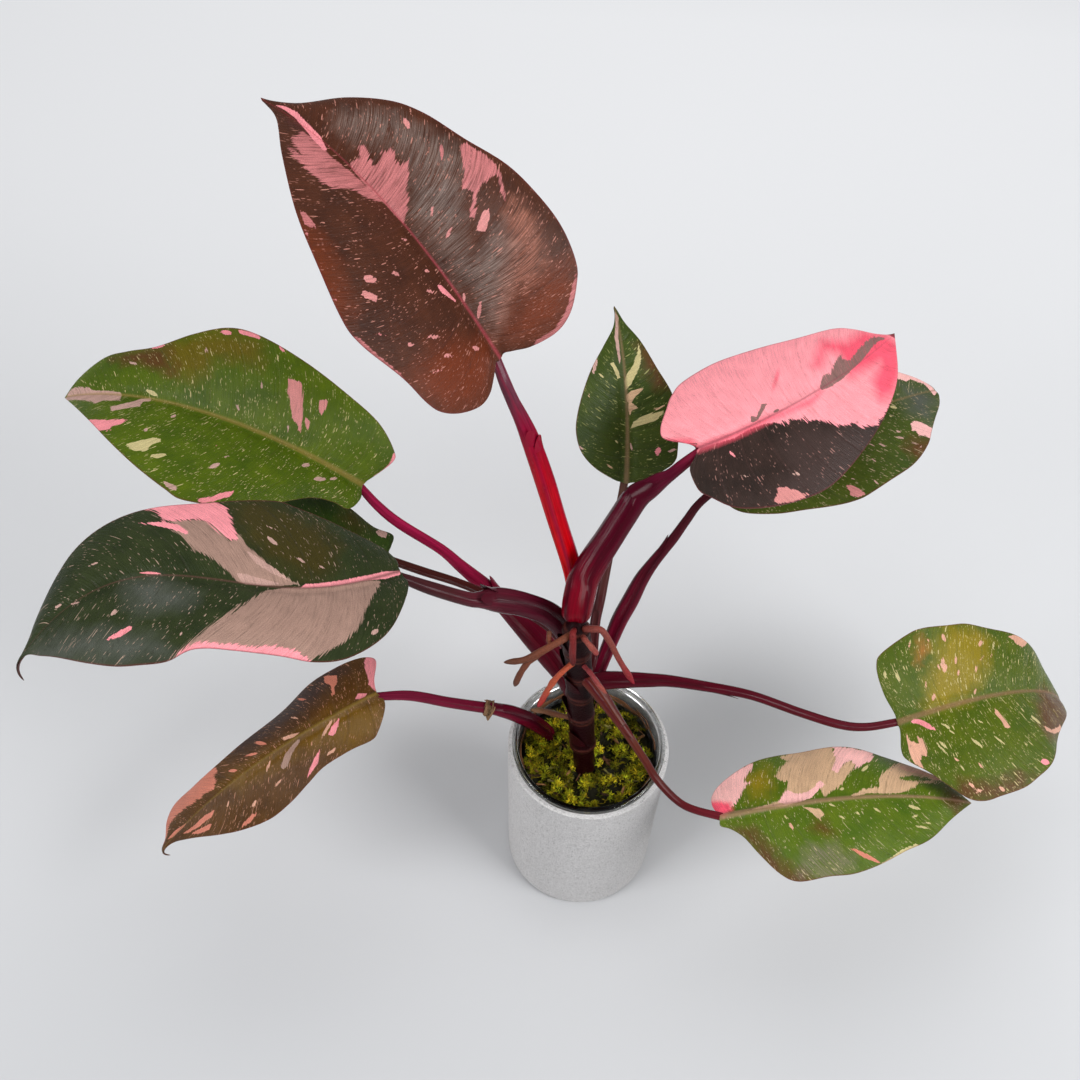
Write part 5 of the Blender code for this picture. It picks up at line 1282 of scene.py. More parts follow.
def lattice(spec, rows, columns, crowd=1.0):
    """The blade as arrays over rows and columns: places, flat places and the margin.

    across is 0 at the midrib and 1 at the margin, share is 0 at the base and 1 at the tip.
    """
    total = spec["length"] + spec["tail"]
    left, right = margin(spec, "left", rows), margin(spec, "right", rows)
    share = np.arange(1, rows)[:, None] / rows
    column = np.arange(-columns, columns + 1)[None, :] / columns
    across = np.abs(column) ** crowd + 0 * share
    share = share + 0 * column
    rib = total * share ** ROW_CROWD
    on_left = column < 0
    edge_x = np.where(on_left, left[1:-1, :1], right[1:-1, :1])
    edge_y = np.where(on_left, left[1:-1, 1:], -right[1:-1, 1:])
    around = np.where(on_left, *(np.linalg.norm(np.diff(side, axis=0), axis=1).sum()
                                 for side in (left, right)))
    x = rib + (edge_x - rib) * across
    y = edge_y * across
    return dict(place=blade_points(spec, x, y, across, share), x=x, y=y, across=across,
                share=share, rib=rib, edge_x=edge_x, edge_y=edge_y, on_left=on_left,
                around=around)


def leaf_grid(spec, looks):
    """The fine blade with its side veins, as arrays over rows and columns."""
    g = lattice(spec, LEAF_ROWS, LEAF_COLUMNS, COLUMN_CROWD)
    total = spec["length"] + spec["tail"]
    across, share, around = g["across"], g["share"], g["around"]
    start = share - VEIN_BOW * across ** 2 * np.sin(math.pi * np.clip(share, 0, 1)) ** 0.5
    number = start * looks["veins"] + np.where(g["on_left"], 0.0, 0.5)
    spacing = (total * ROW_CROWD * share ** (ROW_CROWD - 1) * (1 - across)
               + around * across) / looks["veins"]
    from_vein = np.abs(number - np.round(number)) * spacing
    return dict(**g, number=number, from_vein=from_vein, start=start * around,
                along=across * np.maximum(np.abs(g["edge_y"]), NARROWEST))


# Markings on the leaves

def inside_distance(x, y, outline):
    """How far inside a closed outline each point lies; negative outside it."""
    p = np.array(outline, float)
    q = np.roll(p, -1, axis=0)
    nearest = np.full(x.shape, 1e9)
    inside = np.zeros(x.shape, bool)
    for (ax, ay), (bx, by) in zip(p, q):
        dx, dy = bx - ax, by - ay
        t = np.clip(((x - ax) * dx + (y - ay) * dy) / (dx * dx + dy * dy + 1e-9), 0, 1)
        nearest = np.minimum(nearest, np.hypot(x - ax - t * dx, y - ay - t * dy))
        crosses = (ay > y) != (by > y)
        inside ^= crosses & (x < (bx - ax) * (y - ay) / (by - ay + 1e-12) + ax)
    return np.where(inside, nearest, -nearest)


def stroke_distance(x, y, stroke):
    """Roughly how far inside a short stroke each point lies; negative outside it."""
    along, out, length, width, turn = stroke
    c, s = math.cos(turn), math.sin(turn)
    u, v = (x - along) * c + (y - out) * s, (y - out) * c - (x - along) * s
    half_length, half_width = length / 2 + STROKE_PADDING, width / 2 + STROKE_PADDING
    return (1 - np.hypot(u / half_length, v / half_width)) * half_width


def area(outline):
    p = np.array(outline, float)
    q = np.roll(p, -1, axis=0)
    return abs(np.sum(p[:, 0] * q[:, 1] - q[:, 0] * p[:, 1])) / 2


def loosening(outline):
    """How ragged a patch's border is: the larger the patch, the more so."""
    return min(max(math.sqrt(area(outline)) / 25, STROKE_LOOSE), 1.0)


def camera_axes():
    """The camera's right, its upper side and the way it looks."""
    down, roll = math.radians(CAMERA_DOWN), math.radians(CAMERA_ROLL)
    ahead = np.array([0, math.cos(down), -math.sin(down)])
    right = np.array([1.0, 0, 0])
    up = np.cross(right, ahead)
    return (right * math.cos(roll) + up * math.sin(roll),
            up * math.cos(roll) - right * math.sin(roll), ahead)


def in_photo(places):
    """The pixels of the photograph that show the places, and how far away those are."""
    right, up, ahead = camera_axes()
    seen = places - np.array(CAMERA_PLACE)
    depth = seen @ ahead
    scale = PHOTO_SIZE * CAMERA_LENS / SENSOR_WIDTH / depth
    return PHOTO_SIZE / 2 + scale * (seen @ right), PHOTO_SIZE / 2 - scale * (seen @ up), depth


def laid_flat(g, seen, traced):
    """Flat places of an outline traced in the photograph, seen being the blade in_photo.

    A point beside the leaf is carried past the margin, so that its patch reaches the edge.
    """
    outline = []
    for pixel_x, pixel_y in traced:
        off = np.hypot(seen[0] - pixel_x, seen[1] - pixel_y)
        gap = off.min()
        depth = np.where(off < gap + SAME_SPOT, seen[2], np.inf)
        at = np.unravel_index(np.argmin(depth), depth.shape)
        point = np.array([g["x"][at], g["y"][at]])
        if gap > BESIDE_LEAF and g["across"][at] > NEAR_MARGIN:
            outward = np.array([g["edge_x"][at] - g["rib"][at], g["edge_y"][at]])
            outward /= np.linalg.norm(outward)
            point += outward * min(gap / PIXELS_PER_MM, FURTHEST_OUT)
        outline.append(point)
    return np.array(outline)


def as_stroke(outline):
    """A small outline as a stroke: its middle, length, width and turn."""
    centre = outline.mean(axis=0)
    lengthwise = np.linalg.eigh(np.cov((outline - centre).T))[1][:, 1]
    along = (outline - centre) @ lengthwise
    length = max(np.ptp(along), STROKE_LENGTH)
    width = min(max(area(outline) / (math.pi / 4 * length), STROKE_WIDTH), length)
    middle = centre + lengthwise * (along.max() + along.min()) / 2
    return (*middle, length, width, math.atan2(lengthwise[1], lengthwise[0]))


def markings(key, spec):
    """The leaf's patches as (kind, flat outline) and its short strokes as (kind, stroke)."""
    g = lattice(spec, TRACE_ROWS, TRACE_COLUMNS)
    seen = in_photo(g["place"])
    patches, strokes = list(HAND_SET.get(key, [])), []
    for kind, traced in TRACED[key]:
        outline = laid_flat(g, seen, traced)
        if area(outline) < STROKE_AREA:
            strokes.append((kind, as_stroke(outline)))
        else:
            patches.append((kind, outline))
    return patches, strokes


def mark_values(key, spec, x, y):
    """How far inside each kind of marking the flat points lie, by kind."""
    patches, strokes = markings(key, spec)
    values = {}
    for kind in [*TINTS, *MARKS]:
        best = np.full(x.shape, FAR_OUTSIDE)
        for outline in [outline for name, outline in patches if name == kind]:
            loose = 1.0 if kind in TINTS else loosening(outline)
            best = np.maximum(best, inside_distance(x, y, outline) / loose)
        for stroke in [stroke for name, stroke in strokes if name == kind]:
            best = np.maximum(best, stroke_distance(x, y, stroke) / STROKE_LOOSE)
        if best.max() > FAR_OUTSIDE:
            values[kind] = best
    return values


def leaf(key, spec, looks):
    """One leaf blade with raised midrib, sunken side veins and puffed fields between."""
    g = leaf_grid(spec, looks)
    along_rows = np.gradient(g["place"], axis=0)
    along_columns = np.gradient(g["place"], axis=1)
    normal = np.cross(along_rows, along_columns)
    normal /= np.maximum(np.linalg.norm(normal, axis=2), 1e-9)[..., None]
    if (normal @ blade_axes(spec)[1]).mean() < 0:
        normal = -normal

    across, share = g["across"], g["share"]
    out = np.abs(g["y"])
    slim = np.clip(1 - share, 0, 1) ** 0.6
    fade = np.clip(out / 3, 0, 1) * (1 - across ** 3)
    ridge = 0.55 * slim * np.exp(-(out / (1.2 * slim + 0.3)) ** 2)
    trough = 0.45 * slim * np.exp(-((out - 3.4) / 1.6) ** 2)
    groove = 0.17 * np.exp(-(g["from_vein"] / 0.9) ** 2) * fade
    field = 0.26 * np.abs(np.sin(math.pi * g["number"])) * fade
    upper = g["place"] + normal * (ridge - trough - groove + field)[..., None]
    thick = BLADE_THICKNESS * (1 - 0.45 * across)
    keel = 2.6 * slim * np.exp(-(out / (2.4 * slim + 0.3)) ** 2)
    cords = 0.45 * np.exp(-(g["from_vein"] / 1.1) ** 2) * fade
    lower = g["place"] - normal * (thick + keel + cords - field * 0.8)[..., None]

    rows, width = g["x"].shape
    total = spec["length"] + spec["tail"]
    ends = blade_points(spec, np.array([0.0, total]), np.zeros(2), np.zeros(2),
                        np.array([0.0, 1.0]))
    base_up, tip_up = blade_axes(spec)[1], normal[-1, width // 2]
    points = np.vstack([upper.reshape(-1, 3), ends, lower.reshape(-1, 3),
                        [ends[0] - base_up * 2.0, ends[1] - tip_up * 0.4]])
    count = rows * width
    start, stop = count, count + 1
    index = np.arange(count).reshape(rows, width)
    quads = np.stack([index[:-1, :-1], index[1:, :-1], index[1:, 1:], index[:-1, 1:]],
                     -1).reshape(-1, 4)
    faces = quads.tolist()
    faces += [(start, index[0, j], index[0, j + 1]) for j in range(width - 1)]
    faces += [(index[-1, j], stop, index[-1, j + 1]) for j in range(width - 1)]
    shift = count + 2
    faces += [tuple(int(v) + shift for v in face)[::-1] for face in faces]
    rim = [start, *index[:, 0], stop, *index[::-1, -1]]
    faces += [(a, b, b + shift, a + shift) for a, b in zip(rim, rim[1:] + rim[:1])]
    faces = [tuple(int(v) for v in face) for face in faces]

    def both(values, at_base, at_tip):
        one = np.r_[values.ravel(), at_base, at_tip]
        return np.r_[one, one]

    under = np.r_[np.zeros(shift), np.ones(shift)]
    flat_x, flat_y = both(g["x"], 0, total), both(g["y"], 0, 0)
    values = {
        "flat": np.stack([flat_x, flat_y, 0 * flat_x], 1),
        "vein": np.stack([both(g["start"], 0, g["start"].max()),
                          both(g["along"] * np.sign(g["y"] + 1e-9), 0, 0),
                          both(g["from_vein"], 2, 2)], 1),
        "leaf": np.stack([both(across, 0, 0), both(share, 0, 1), under], 1),
    }
    marks = mark_values(key, spec, flat_x, flat_y)
    mat = leaf_material("leaf_skin_" + key, looks, list(marks))
    values.update(marks)
    add_piece("leaf_" + key, points, faces, mat, ["blade_" + key], values,
              angle=60)


# Stalks

def stalk_end(spec):
    along, upper, _ = blade_axes(spec)
    under = BLADE_THICKNESS + 0.7 * STALK_TIP_RADIUS
    end = np.array(spec["base"], float) + STALK_UNDER * along - under * upper
    return (*end, STALK_TIP_RADIUS)


def sheath_tip(centre, along, up, side, radius, turn, reach):
    """A thin pointed scale where the sheath ends: points and faces of a closed shell."""
    rows, half = 10, 4
    shell = []
    for inward in (0.0, 0.45):
        for t in np.linspace(0, 1, rows):
            spread = 0.95 * (1 - t) ** 0.7 + 0.02
            away = radius * (1.03 + 0.06 * t + 0.30 * t * t) - inward * (1 - 0.6 * t)
            for k in range(-half, half + 1):
                a = turn + spread * k / half
                shell.append(centre + along * (reach * (t - 0.4))
                             + away * (math.sin(a) * side + math.cos(a) * up))
    wide = 2 * half + 1
    count = rows * wide
    faces = []
    for i in range(rows - 1):
        for k in range(wide - 1):
            a = i * wide + k
            faces.append((a, a + 1, a + wide + 1, a + wide))
            faces.append((a + count, a + wide + count, a + wide + 1 + count, a + 1 + count))
    rim = [*range(wide), *[i * wide + wide - 1 for i in range(1, rows)],
           *range(count - 2, count - wide - 1, -1), *[i * wide for i in range(rows - 2, 0, -1)]]
    faces += [(b, a, a + count, b + count) for a, b in zip(rim, rim[1:] + rim[:1])]
    return np.array(shell), faces


def stalk(key, spec, mat):
    """One leaf stalk: grooved above, with the two thin edges of its sheath."""
    route = spec["route"] + [stalk_end(BLADES[key])]
    path = smooth_route(route, STALK_SECTIONS)
    centre, radii = path[:, :3], path[:, 3]
    tangent, up, side = section_axes(centre)
    share = np.linspace(0, 1, STALK_SECTIONS)
    length = np.linalg.norm(np.diff(centre, axis=0), axis=1).sum()
    angle = np.linspace(-math.pi, math.pi, STALK_SIDES, endpoint=False)
    sheathed = np.clip((spec["sheath"] - share) / 0.04, 0, 1)
    points, skin, tint = [], [], []
    stops = [s for s, _ in spec["colours"]]
    ramp = np.array([c for _, c in spec["colours"]])
    foot = np.sqrt(np.clip(share / STALK_FOOT, 0.03, 1))
    for i in range(STALK_SECTIONS):
        width = radii[i] * foot[i]
        height = width * (STALK_FLAT + (1 - STALK_FLAT) * share[i])
        groove = (0.14 + 0.16 * sheathed[i]) * np.exp(-(angle / 0.42) ** 2)
        edge = 0.09 * sheathed[i] * np.exp(-((np.abs(angle) - 0.66) / 0.16) ** 2)
        ribs = 0.012 * np.sin(11 * angle + 2 * share[i])
        x = width * np.sin(angle) * (1 + ribs)
        y = height * np.cos(angle) * (1 - groove + edge + ribs)
        points.append(centre[i] + x[:, None] * side[i] + y[:, None] * up[i])
        skin.append(np.stack([angle * width, np.full(STALK_SIDES, share[i] * length),
                              0 * angle], 1))
        body = np.array([np.interp(share[i], stops, ramp[:, c]) for c in range(3)])
        lips = np.exp(-((np.abs(angle) - 0.7) / 0.22) ** 2)[:, None] * max(sheathed[i], 0.35)
        shade = body * (1 - lips) + np.array(spec["rim"]) * lips
        tint.append(np.c_[shade, np.ones(STALK_SIDES)])
    faces = ring_faces(STALK_SECTIONS, STALK_SIDES)
    at = round(spec["sheath"] * (STALK_SECTIONS - 1))
    for turn, length_share, reach in spec.get("tips", [(0.0, 0.0, 9.0)]):
        n = min(at + round(length_share * STALK_SECTIONS), STALK_SECTIONS - 2)
        shape, more = sheath_tip(centre[n], tangent[n], up[n], side[n], radii[n], turn, reach)
        first = sum(len(p) for p in points)
        faces += [tuple(v + first for v in face) for face in more]
        points.append(shape)
        skin.append(np.tile([0.0, share[n] * length, 0.0], (len(shape), 1)))
        shade = 0.5 * (np.array([np.interp(share[n], stops, ramp[:, c]) for c in range(3)])
                       + np.array(spec["rim"]))
        tint.append(np.tile([*shade, 1.0], (len(shape), 1)))
    points = np.concatenate(points)
    add_piece("stalk_" + key, points, faces, mat, ["petiole_" + key],
              {"skin": np.concatenate(skin), "tint": np.concatenate(tint)})


# Cane and roots

def cane_radius(centre):
    bumps = sum(math.exp(-(((centre[2] - z) / 2.2) ** 2)) for z in CANE_SCARS)
    radius = CANE_FOOT_RADIUS if centre[2] < CANE_SCARS[0] - 2 else CANE_RADIUS
    return radius + 0.55 * min(bumps, 1.0)


def cane():
    points, faces, share = round_tube(CANE_ROUTE, cane_radius, 40, 130, rough=0.012, seed=4,
                                     tip=0.05)
    heights = points[:, 2]
    near = np.min([np.abs(heights - z) for z in CANE_SCARS], axis=0)
    scar = np.exp(-((near - 1.6) / 0.7) ** 2)[:, None]
    body = np.array((0.013, 0.001, 0.002)) * (1 - scar) + np.array((0.085, 0.022, 0.016)) * scar
    path = smooth_route(CANE_ROUTE, 130)
    tangent, up, side = section_axes(path, level=False)
    for z, turn, reach in CANE_SCALES:
        n = int(np.argmin(np.abs(path[:, 2] - z)))
        shape, more = sheath_tip(path[n], tangent[n], up[n], side[n], cane_radius(path[n]),
                                 math.radians(turn), reach)
        faces += [tuple(v + len(points) for v in face) for face in more]
        points = np.vstack([points, shape])
        body = np.vstack([body, np.tile((0.026, 0.002, 0.004), (len(shape), 1))])
    mat = tinted_material("cane_skin", 0.36, 0.4, 0.0006, 0.07)
    add_piece("cane_skin", points, faces, mat, ["cane"],
              {"tint": np.c_[body, np.ones(len(points))]})


def roots():
    mat = tinted_material("root_skin", 0.5, 0.35, 0.0004)
    for n, (name, branches) in enumerate(ROOTS.items()):
        points, faces, tint = np.zeros((0, 3)), [], np.zeros((0, 4))
        for b, (radius, route) in enumerate(branches):
            count = 10 * len(route)
            more, more_faces, share = round_tube(route, radius, ROOT_SIDES, count, rough=0.09,
                                                 seed=10 * n + b, tip=0.12)
            faces += [tuple(v + len(points) for v in face) for face in more_faces]
            points = np.vstack([points, more])
            blend = np.clip((share - 0.55) / 0.4, 0, 1)[:, None]
            colour = (np.array(ROOT_COLOURS[n][0]) * (1 - blend)
                      + np.array(ROOT_COLOURS[n][1]) * blend)
            tint = np.vstack([tint, np.c_[colour, np.ones(len(more))]])
        add_piece(name.replace("aerial_root", "root"), points, faces, mat, [name],
                  {"tint": tint})


def husk():
    """Dried fibres of old sheath round the lowest stalk."""
    spec = PETIOLES["05"]
    path = smooth_route(spec["route"] + [stalk_end(BLADES["05"])], 60)
    tangent, up, side = section_axes(path[:, :3])
    at = int(HUSK_AT * 59)
    centre, along, up, side = path[at, :3], tangent[at], up[at], side[at]
    inner = path[at, 3] * 1.02 + 0.2
    random = np.random.default_rng(7)
    hangs = random.uniform(0, 1, HUSK_THREADS)
    points, faces, tint = [], [], []
    sides = 6
    for strand in range(HUSK_STRANDS):
        thread = strand - (HUSK_STRANDS - HUSK_THREADS)
        turn = random.uniform(0, 2 * math.pi)
        sweep = random.uniform(0.8, 2.6)
        shift = random.uniform(-0.5, 0.5) * HUSK_WIDTH
        lean = random.uniform(-0.9, 0.9) * 2
        radius = inner + random.uniform(0, HUSK_THICKNESS)
        thin = random.uniform(0.22, 0.5)
        line = []
        for t in np.linspace(0, 1, 14):
            a = turn + sweep * t
            flare = 0.9 * t * t * random.uniform(0.2, 1.0)
            point = (centre + along * (shift + lean * (t - 0.5))
                     + (radius + flare) * (math.cos(a) * side + math.sin(a) * up))
            if thread >= 0:
                hang = HUSK_HANG * (0.4 + 0.6 * hangs[thread]) * t
                point = (centre + along * (shift * (1 - t)) - np.array([0, 0, 1.0]) * hang
                         + inner * (0.95 * np.array([0, -1.0, 0]) * (1 - 0.3 * t)))
            line.append(point)
        more, more_faces, _ = round_tube(line, thin, sides, 16, rough=0.15, seed=strand)
        join(points, faces, more, more_faces)
        shade = np.array((0.26, 0.15, 0.08)) * random.uniform(0.4, 1.3)
        tint += [(*shade, 1.0)] * len(more)
    mat = tinted_material("husk_fibre", 0.9, 0.3)
    add_piece("husk_fibres", points, faces, mat, ["dried_husk"], {"tint": tint})


# Pots, mix and moss

def cover_pot():
    round_foot = [(COVER_BASE_RADIUS - COVER_FOOT_ROUND * (1 - math.cos(a)),
                   COVER_FOOT_ROUND * (1 + math.sin(a)))
                  for a in np.radians(np.linspace(-90, 0, 10))]
    top, base = COVER_TOP_RADIUS, COVER_BASE_RADIUS
    wall = [(base + (top - base) * t, COVER_FOOT_ROUND + (COVER_HEIGHT - 4.6) * t)
            for t in np.linspace(0.02, 1, 40)]
    rim = rounded([wall[-1], (top, COVER_HEIGHT), (top - COVER_WALL, COVER_HEIGHT),
                   (top - COVER_WALL, COVER_HEIGHT - 6)], 1.0)
    inner = [(base - COVER_WALL, COVER_FLOOR + 3), (base - COVER_WALL - 3, COVER_FLOOR),
             (0.5, COVER_FLOOR)]
    profile = [(0.5, 0.0)] + round_foot + wall[:-1] + rim + inner
    points, faces = revolve(profile, COVER_SEGMENTS)
    points = np.array(points)
    turn = np.arctan2(points[:, 1], points[:, 0])
    uneven = (0.10 * np.sin(3 * turn + points[:, 2] / 31)
              + 0.07 * np.sin(7 * turn - points[:, 2] / 17 + 1.0)
              + 0.05 * np.sin(13 * turn + points[:, 2] / 9 + 2.0))
    uneven *= np.clip((points[:, 2] - 1) / 4, 0, 1) - 1.4 * (points[:, 2] > 5)
    radius = np.hypot(points[:, 0], points[:, 1])
    points[:, :2] *= (1 - np.abs(uneven) * 0.5 / np.maximum(radius, 10))[:, None]
    add_piece("fibre_pot", points, faces, concrete_material(), ["cover_pot"])


def cut_drains(pot):
    """Cuts the round drain holes through the inner pot's floor."""
    bm = bmesh.new()
    for hole in range(DRAIN_HOLES):
        a = 2 * math.pi * hole / DRAIN_HOLES
        place = Vector((math.cos(a) * DRAIN_CIRCLE, math.sin(a) * DRAIN_CIRCLE,
                        NURSERY_BASE_HEIGHT)) * MM
        bmesh.ops.create_cone(bm, cap_ends=True, segments=32, radius1=DRAIN_RADIUS * MM,
                              radius2=DRAIN_RADIUS * MM, depth=DRAIN_DEPTH * MM,
                              matrix=Matrix.Translation(place))
    mesh = bpy.data.meshes.new("drain_cutter")
    bm.to_mesh(mesh)
    bm.free()
    cutter = bpy.data.objects.new("drain_cutter", mesh)
    bpy.context.scene.collection.objects.link(cutter)
    cut = pot.modifiers.new("drains", "BOOLEAN")
    cut.operation = "DIFFERENCE"
    cut.solver = "EXACT"
    cut.object = cutter
    finished = pot.evaluated_get(bpy.context.evaluated_depsgraph_get())
    whole = pot.data
    pot.data = bpy.data.meshes.new_from_object(finished)
    pot.modifiers.clear()
    bpy.data.meshes.remove(whole)
    bpy.data.objects.remove(cutter)
    bpy.data.meshes.remove(mesh)


def nursery_pot():
    top = LIP_LOW + LIP_HEIGHT
    inner = LIP_RADIUS - LIP_WIDTH
    floor = NURSERY_BASE_HEIGHT
    profile = rounded([(0.5, floor), (NURSERY_BASE_RADIUS, floor),
                       (NURSERY_TOP_RADIUS, LIP_LOW - 0.2), (LIP_RADIUS, LIP_LOW),
                       (LIP_RADIUS, top), (inner, top), (inner, LIP_LOW),
                       (NURSERY_BASE_RADIUS - NURSERY_WALL, floor + 1.4),
                       (0.5, floor + NURSERY_WALL)], 0.9, 6)
    points, faces = revolve(profile, NURSERY_SEGMENTS)
    pot = add_piece("clear_pot", points, faces, clear_material(), ["nursery_pot"])
    cut_drains(pot)


def moss_height(x, y):
    h = np.sin(0.31 * x + 0.9) * np.cos(0.27 * y - 0.4)
    h = h + 0.6 * np.sin(0.62 * x - 0.43 * y + 2.1) + 0.4 * np.cos(0.55 * y + 0.71 * x)
    return MOSS_TOP + MOSS_LUMP * h / 2


def moss():
    """A lumpy mat with thousands of small pointed leaves in tufts."""
    random = np.random.default_rng(11)
    rings, segments = 44, 110
    points, faces, tint = [(0.0, 0.0, float(moss_height(0, 0)))], [], [(0.02, 0.022, 0.004, 1)]
    for ring in range(1, rings + 1):
        r = MOSS_EDGE * ring / rings
        for k in range(segments):
            a = 2 * math.pi * k / segments
            x, y = r * math.cos(a), r * math.sin(a)
            z = float(moss_height(x, y)) + random.uniform(-0.5, 0.5) - 0.8
            z -= 2.5 * max(0.0, (ring - rings + 4) / 4)
            points.append((x, y, z))
            tint.append((0.010, 0.009, 0.003, 1))
    for k in range(segments):
        a = 2 * math.pi * k / segments
        points.append((MOSS_EDGE * math.cos(a), MOSS_EDGE * math.sin(a), MOSS_LOW))
        tint.append((0.02, 0.015, 0.008, 1))
    points.append((0.0, 0.0, MOSS_LOW))
    tint.append((0.02, 0.015, 0.008, 1))
    low = len(points) - 1
    for k in range(segments):
        n = (k + 1) % segments
        faces.append((0, 1 + k, 1 + n))
        for ring in range(rings):
            a, b = 1 + ring * segments + k, 1 + ring * segments + n
            faces.append((a, a + segments, b + segments, b))
        last = 1 + rings * segments
        faces.append((last + k, low, last + n))
    clumps = []
    for clump in range(CLUMPS):
        r = (MOSS_EDGE - 3.0) * math.sqrt(random.uniform(0, 1))
        a = random.uniform(0, 2 * math.pi)
        clumps.append((r * math.cos(a), r * math.sin(a), random.uniform(0.35, 1.5)))
    for tuft in range(TUFTS):
        clump_x, clump_y, vigour = clumps[random.integers(CLUMPS)]
        away_x, away_y = random.normal(0, 1.9, 2)
        x, y = clump_x + away_x, clump_y + away_y
        if math.hypot(x, y) > MOSS_EDGE - 1.0:
            x, y = clump_x * 0.9, clump_y * 0.9
        heap = math.exp(-(away_x ** 2 + away_y ** 2) / 7)
        z = float(moss_height(x, y)) - 0.8 + 1.8 * heap * vigour
        lush = 0.5 + 0.5 * math.sin(0.35 * x + 1.3) * math.cos(0.30 * y + 0.5)
        warm = random.uniform(0, 1)
        shade = np.array((0.30 + 0.20 * warm, 0.36, 0.014)) * random.uniform(0.3, 1.5)
        shade *= (0.5 + 0.6 * lush) * vigour * (0.25 + heap)
        lean = random.normal(0, 0.35, 2)
        for leaf_number in range(6):
            turn = random.uniform(0, 2 * math.pi)
            tilt = random.uniform(0.25, 1.15)
            length = random.uniform(1.9, 4.2)
            wide = random.uniform(0.25, 0.55)
            direction = np.array([math.cos(turn) * math.sin(tilt) + lean[0],
                                  math.sin(turn) * math.sin(tilt) + lean[1],
                                  math.cos(tilt)])
            direction /= np.linalg.norm(direction)
            sideways = np.cross(direction, (0.3, 0.2, 0.93))
            sideways /= np.linalg.norm(sideways)
            third = np.cross(direction, sideways)
            foot = np.array([x, y, z])
            middle = foot + direction * length * 0.45
            base = len(points)
            points.append(tuple(foot))
            for turn_by in (0.0, 2.1, 4.2):
                spread = math.cos(turn_by) * sideways + 0.5 * math.sin(turn_by) * third
                points.append(tuple(middle + wide * spread))
            droop = np.array([0, 0, -0.25 * length * math.sin(tilt)])
            points.append(tuple(foot + direction * length + droop))
            for p, q in ((1, 2), (2, 3), (3, 1)):
                faces.append((base, base + q, base + p))
                faces.append((base + 4, base + p, base + q))
            bright = shade * random.uniform(0.8, 1.3)
            tint += [(*(bright * 0.35), 1), (*bright, 1), (*bright, 1), (*bright, 1),
                     (*(bright * 1.4), 1)]
    mat = tinted_material("moss_leaves", 0.75, 0.25)
    add_piece("moss_tufts", points, faces, mat, ["moss"], {"tint": tint}, angle=30)


def litter():
    """Bits of bark, dead root and seed that lie on the moss."""
    random = np.random.default_rng(23)
    points, faces, tint = [], [], []
    for bit in range(60):
        r = (MOSS_EDGE - 3) * math.sqrt(random.uniform(0.05, 1))
        a = random.uniform(0, 2 * math.pi)
        x, y = r * math.cos(a), r * math.sin(a)
        z = float(moss_height(x, y)) + 0.4
        turn = random.uniform(0, 2 * math.pi)
        length = random.uniform(3, 9)
        bow = random.uniform(-0.8, 0.8)
        line = []
        for t in np.linspace(-0.5, 0.5, 5):
            line.append((x + length * t * math.cos(turn) - bow * t * t * 4 * math.sin(turn),
                         y + length * t * math.sin(turn) + bow * t * t * 4 * math.cos(turn),
                         z + random.uniform(-0.3, 0.5)))
        more, more_faces, _ = round_tube(line, random.uniform(0.3, 0.8), 7, 12, rough=0.2,
                                         seed=bit)
        join(points, faces, more, more_faces)
        shade = np.array([(0.14, 0.06, 0.03), (0.05, 0.025, 0.015), (0.25, 0.12, 0.05),
                          (0.20, 0.17, 0.05)][bit % 4]) * random.uniform(0.6, 1.2)
        tint += [(*shade, 1.0)] * len(more)
    for root in range(WALL_ROOTS):
        start, span = random.uniform(-70, 150), random.uniform(25, 80)
        low, rise = random.uniform(MOSS_TOP + 0.5, MOSS_TOP + 6), random.uniform(-3, 3)
        line = []
        for t in np.linspace(0, 1, 9):
            a = math.radians(start + span * t)
            r = WALL_ROOT_CIRCLE - random.uniform(0, 0.7)
            line.append((r * math.cos(a), r * math.sin(a),
                         low + rise * t + random.uniform(-0.5, 0.5)))
        more, more_faces, _ = round_tube(line, random.uniform(0.35, 0.75), 8, 40, rough=0.15,
                                         seed=200 + root)
        join(points, faces, more, more_faces)
        shade = np.array((0.17, 0.075, 0.035)) * random.uniform(0.4, 1.3)
        tint += [(*shade, 1.0)] * len(more)
    mat = tinted_material("litter", 0.85, 0.35)
    add_piece("litter", points, faces, mat, values={"tint": tint})


def carried_over():
    """A proper material for the CAD node that stays as it is."""
    bark = skin_material("bark_mix", (0.020, 0.011, 0.007), (0.12, 0.065, 0.035), 0.95, 1.6,
                         0.002)
    mix_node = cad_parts["potting_mix"]
    for slot in mix_node.material_slots:
        slot.material = bark


# Stage

def camera():
    data = bpy.data.cameras.new("camera")
    data.lens = CAMERA_LENS
    data.sensor_width = SENSOR_WIDTH
    data.clip_end = 50.0
    obj = bpy.data.objects.new("camera", data)
    bpy.context.scene.collection.objects.link(obj)
    right, up, ahead = camera_axes()
    matrix = np.eye(4)
    matrix[:3, 0], matrix[:3, 1], matrix[:3, 2] = right, up, -ahead
    matrix[:3, 3] = np.array(CAMERA_PLACE) * MM
    obj.matrix_world = Matrix(matrix.tolist())
    bpy.context.scene.camera = obj


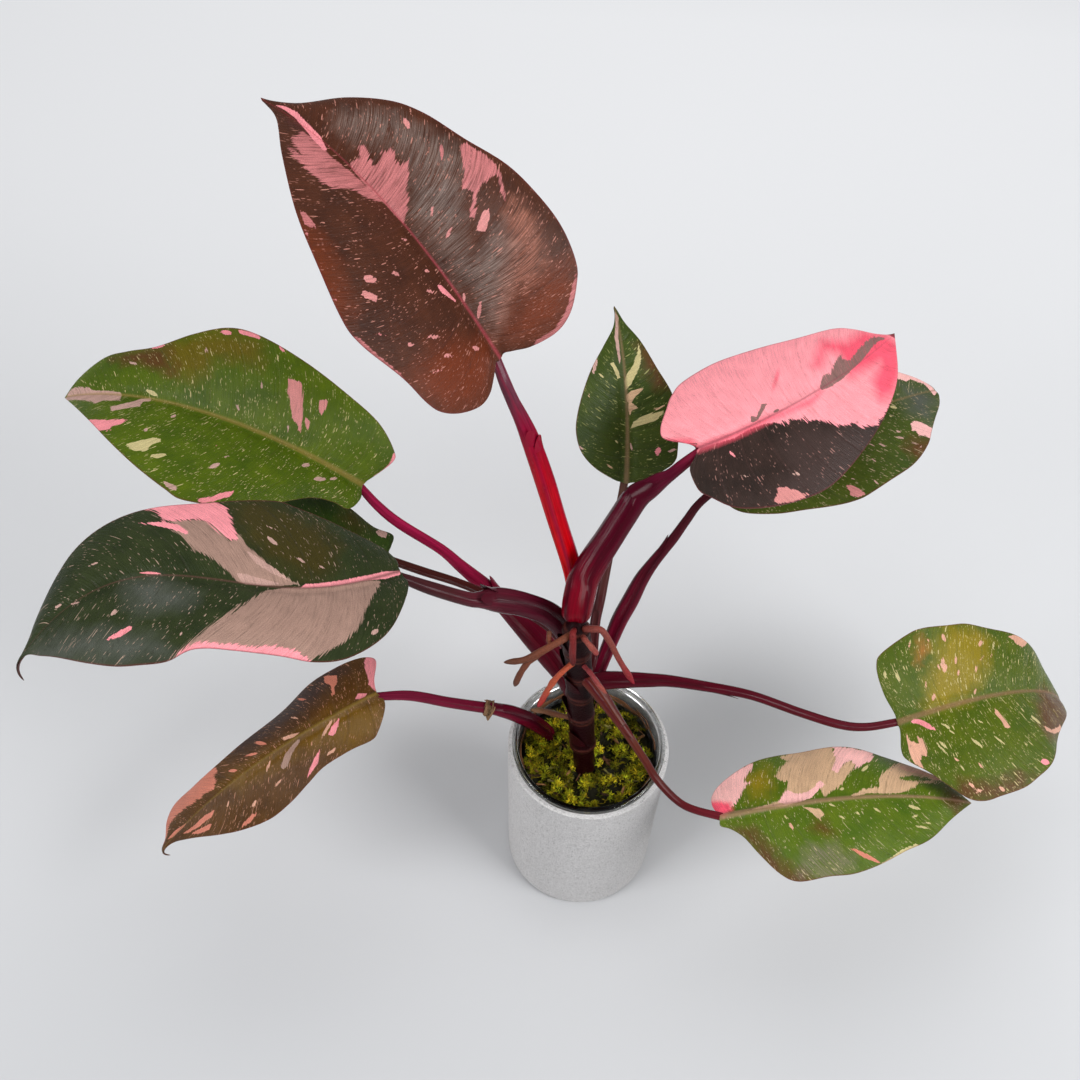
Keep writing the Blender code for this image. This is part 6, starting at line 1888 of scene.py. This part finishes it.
def stage():
    """Pale floor, coloured paler towards the back as painted light, soft sky and large soft
    lights.
    """
    mesh = bpy.data.meshes.new("floor")
    s = FLOOR_HALF
    mesh.from_pydata([(-s, -s, -0.0002), (s, -s, -0.0002), (s, s, -0.0002), (-s, s, -0.0002)],
                     [], [(0, 1, 2, 3)])
    mat, tree, shader = new_material("floor_paper")
    place = tree.nodes.new("ShaderNodeTexCoord").outputs["Object"]
    cloud = noise(tree, stretch(tree, place, 0.5, 0.5, 0.5), detail=2)
    paper = mix(tree, cloud, (0.530, 0.537, 0.552), (0.570, 0.577, 0.592))
    # Painted light: the floor's colour grows paler towards the back, in place of light falling
    # off towards the front.
    _, back, _ = parts(tree, place)
    back = calc(tree, "MULTIPLY", calc(tree, "ADD", back, 0.2), 0.85, clamp=True)
    feed(tree, shader.inputs["Base Color"], mix(tree, back, paper, (0.92, 0.925, 0.94)))
    shader.inputs["Roughness"].default_value = 0.85
    mesh.materials.append(mat)
    floor = bpy.data.objects.new("floor", mesh)
    bpy.context.scene.collection.objects.link(floor)

    world = bpy.data.worlds.new("studio")
    world.use_nodes = True
    world.node_tree.nodes["Background"].inputs["Color"].default_value = (0.95, 0.97, 1.0, 1.0)
    world.node_tree.nodes["Background"].inputs["Strength"].default_value = 0.29
    bpy.context.scene.world = world
    for name, place, aim, size, power, shiny in LIGHTS:
        data = bpy.data.lights.new(name, "AREA")
        data.shape = "SQUARE"
        data.size = size
        data.energy = power
        lamp = bpy.data.objects.new(name, data)
        lamp.visible_glossy = shiny
        direction = np.array(aim) - np.array(place)
        lamp.location = place
        lamp.rotation_mode = "QUATERNION"
        lamp.rotation_quaternion = Vector(direction).to_track_quat("-Z", "Y")
        bpy.context.scene.collection.objects.link(lamp)
    bpy.context.scene.view_settings.view_transform = "Standard"


camera()
stage()
for key, spec in BLADES.items():
    leaf(key, spec, LEAVES[key])
for key, spec in PETIOLES.items():
    stalk(key, spec, stalk_material("stalk_skin_" + key))
cane()
roots()
husk()
cover_pot()
nursery_pot()
moss()
litter()
carried_over()
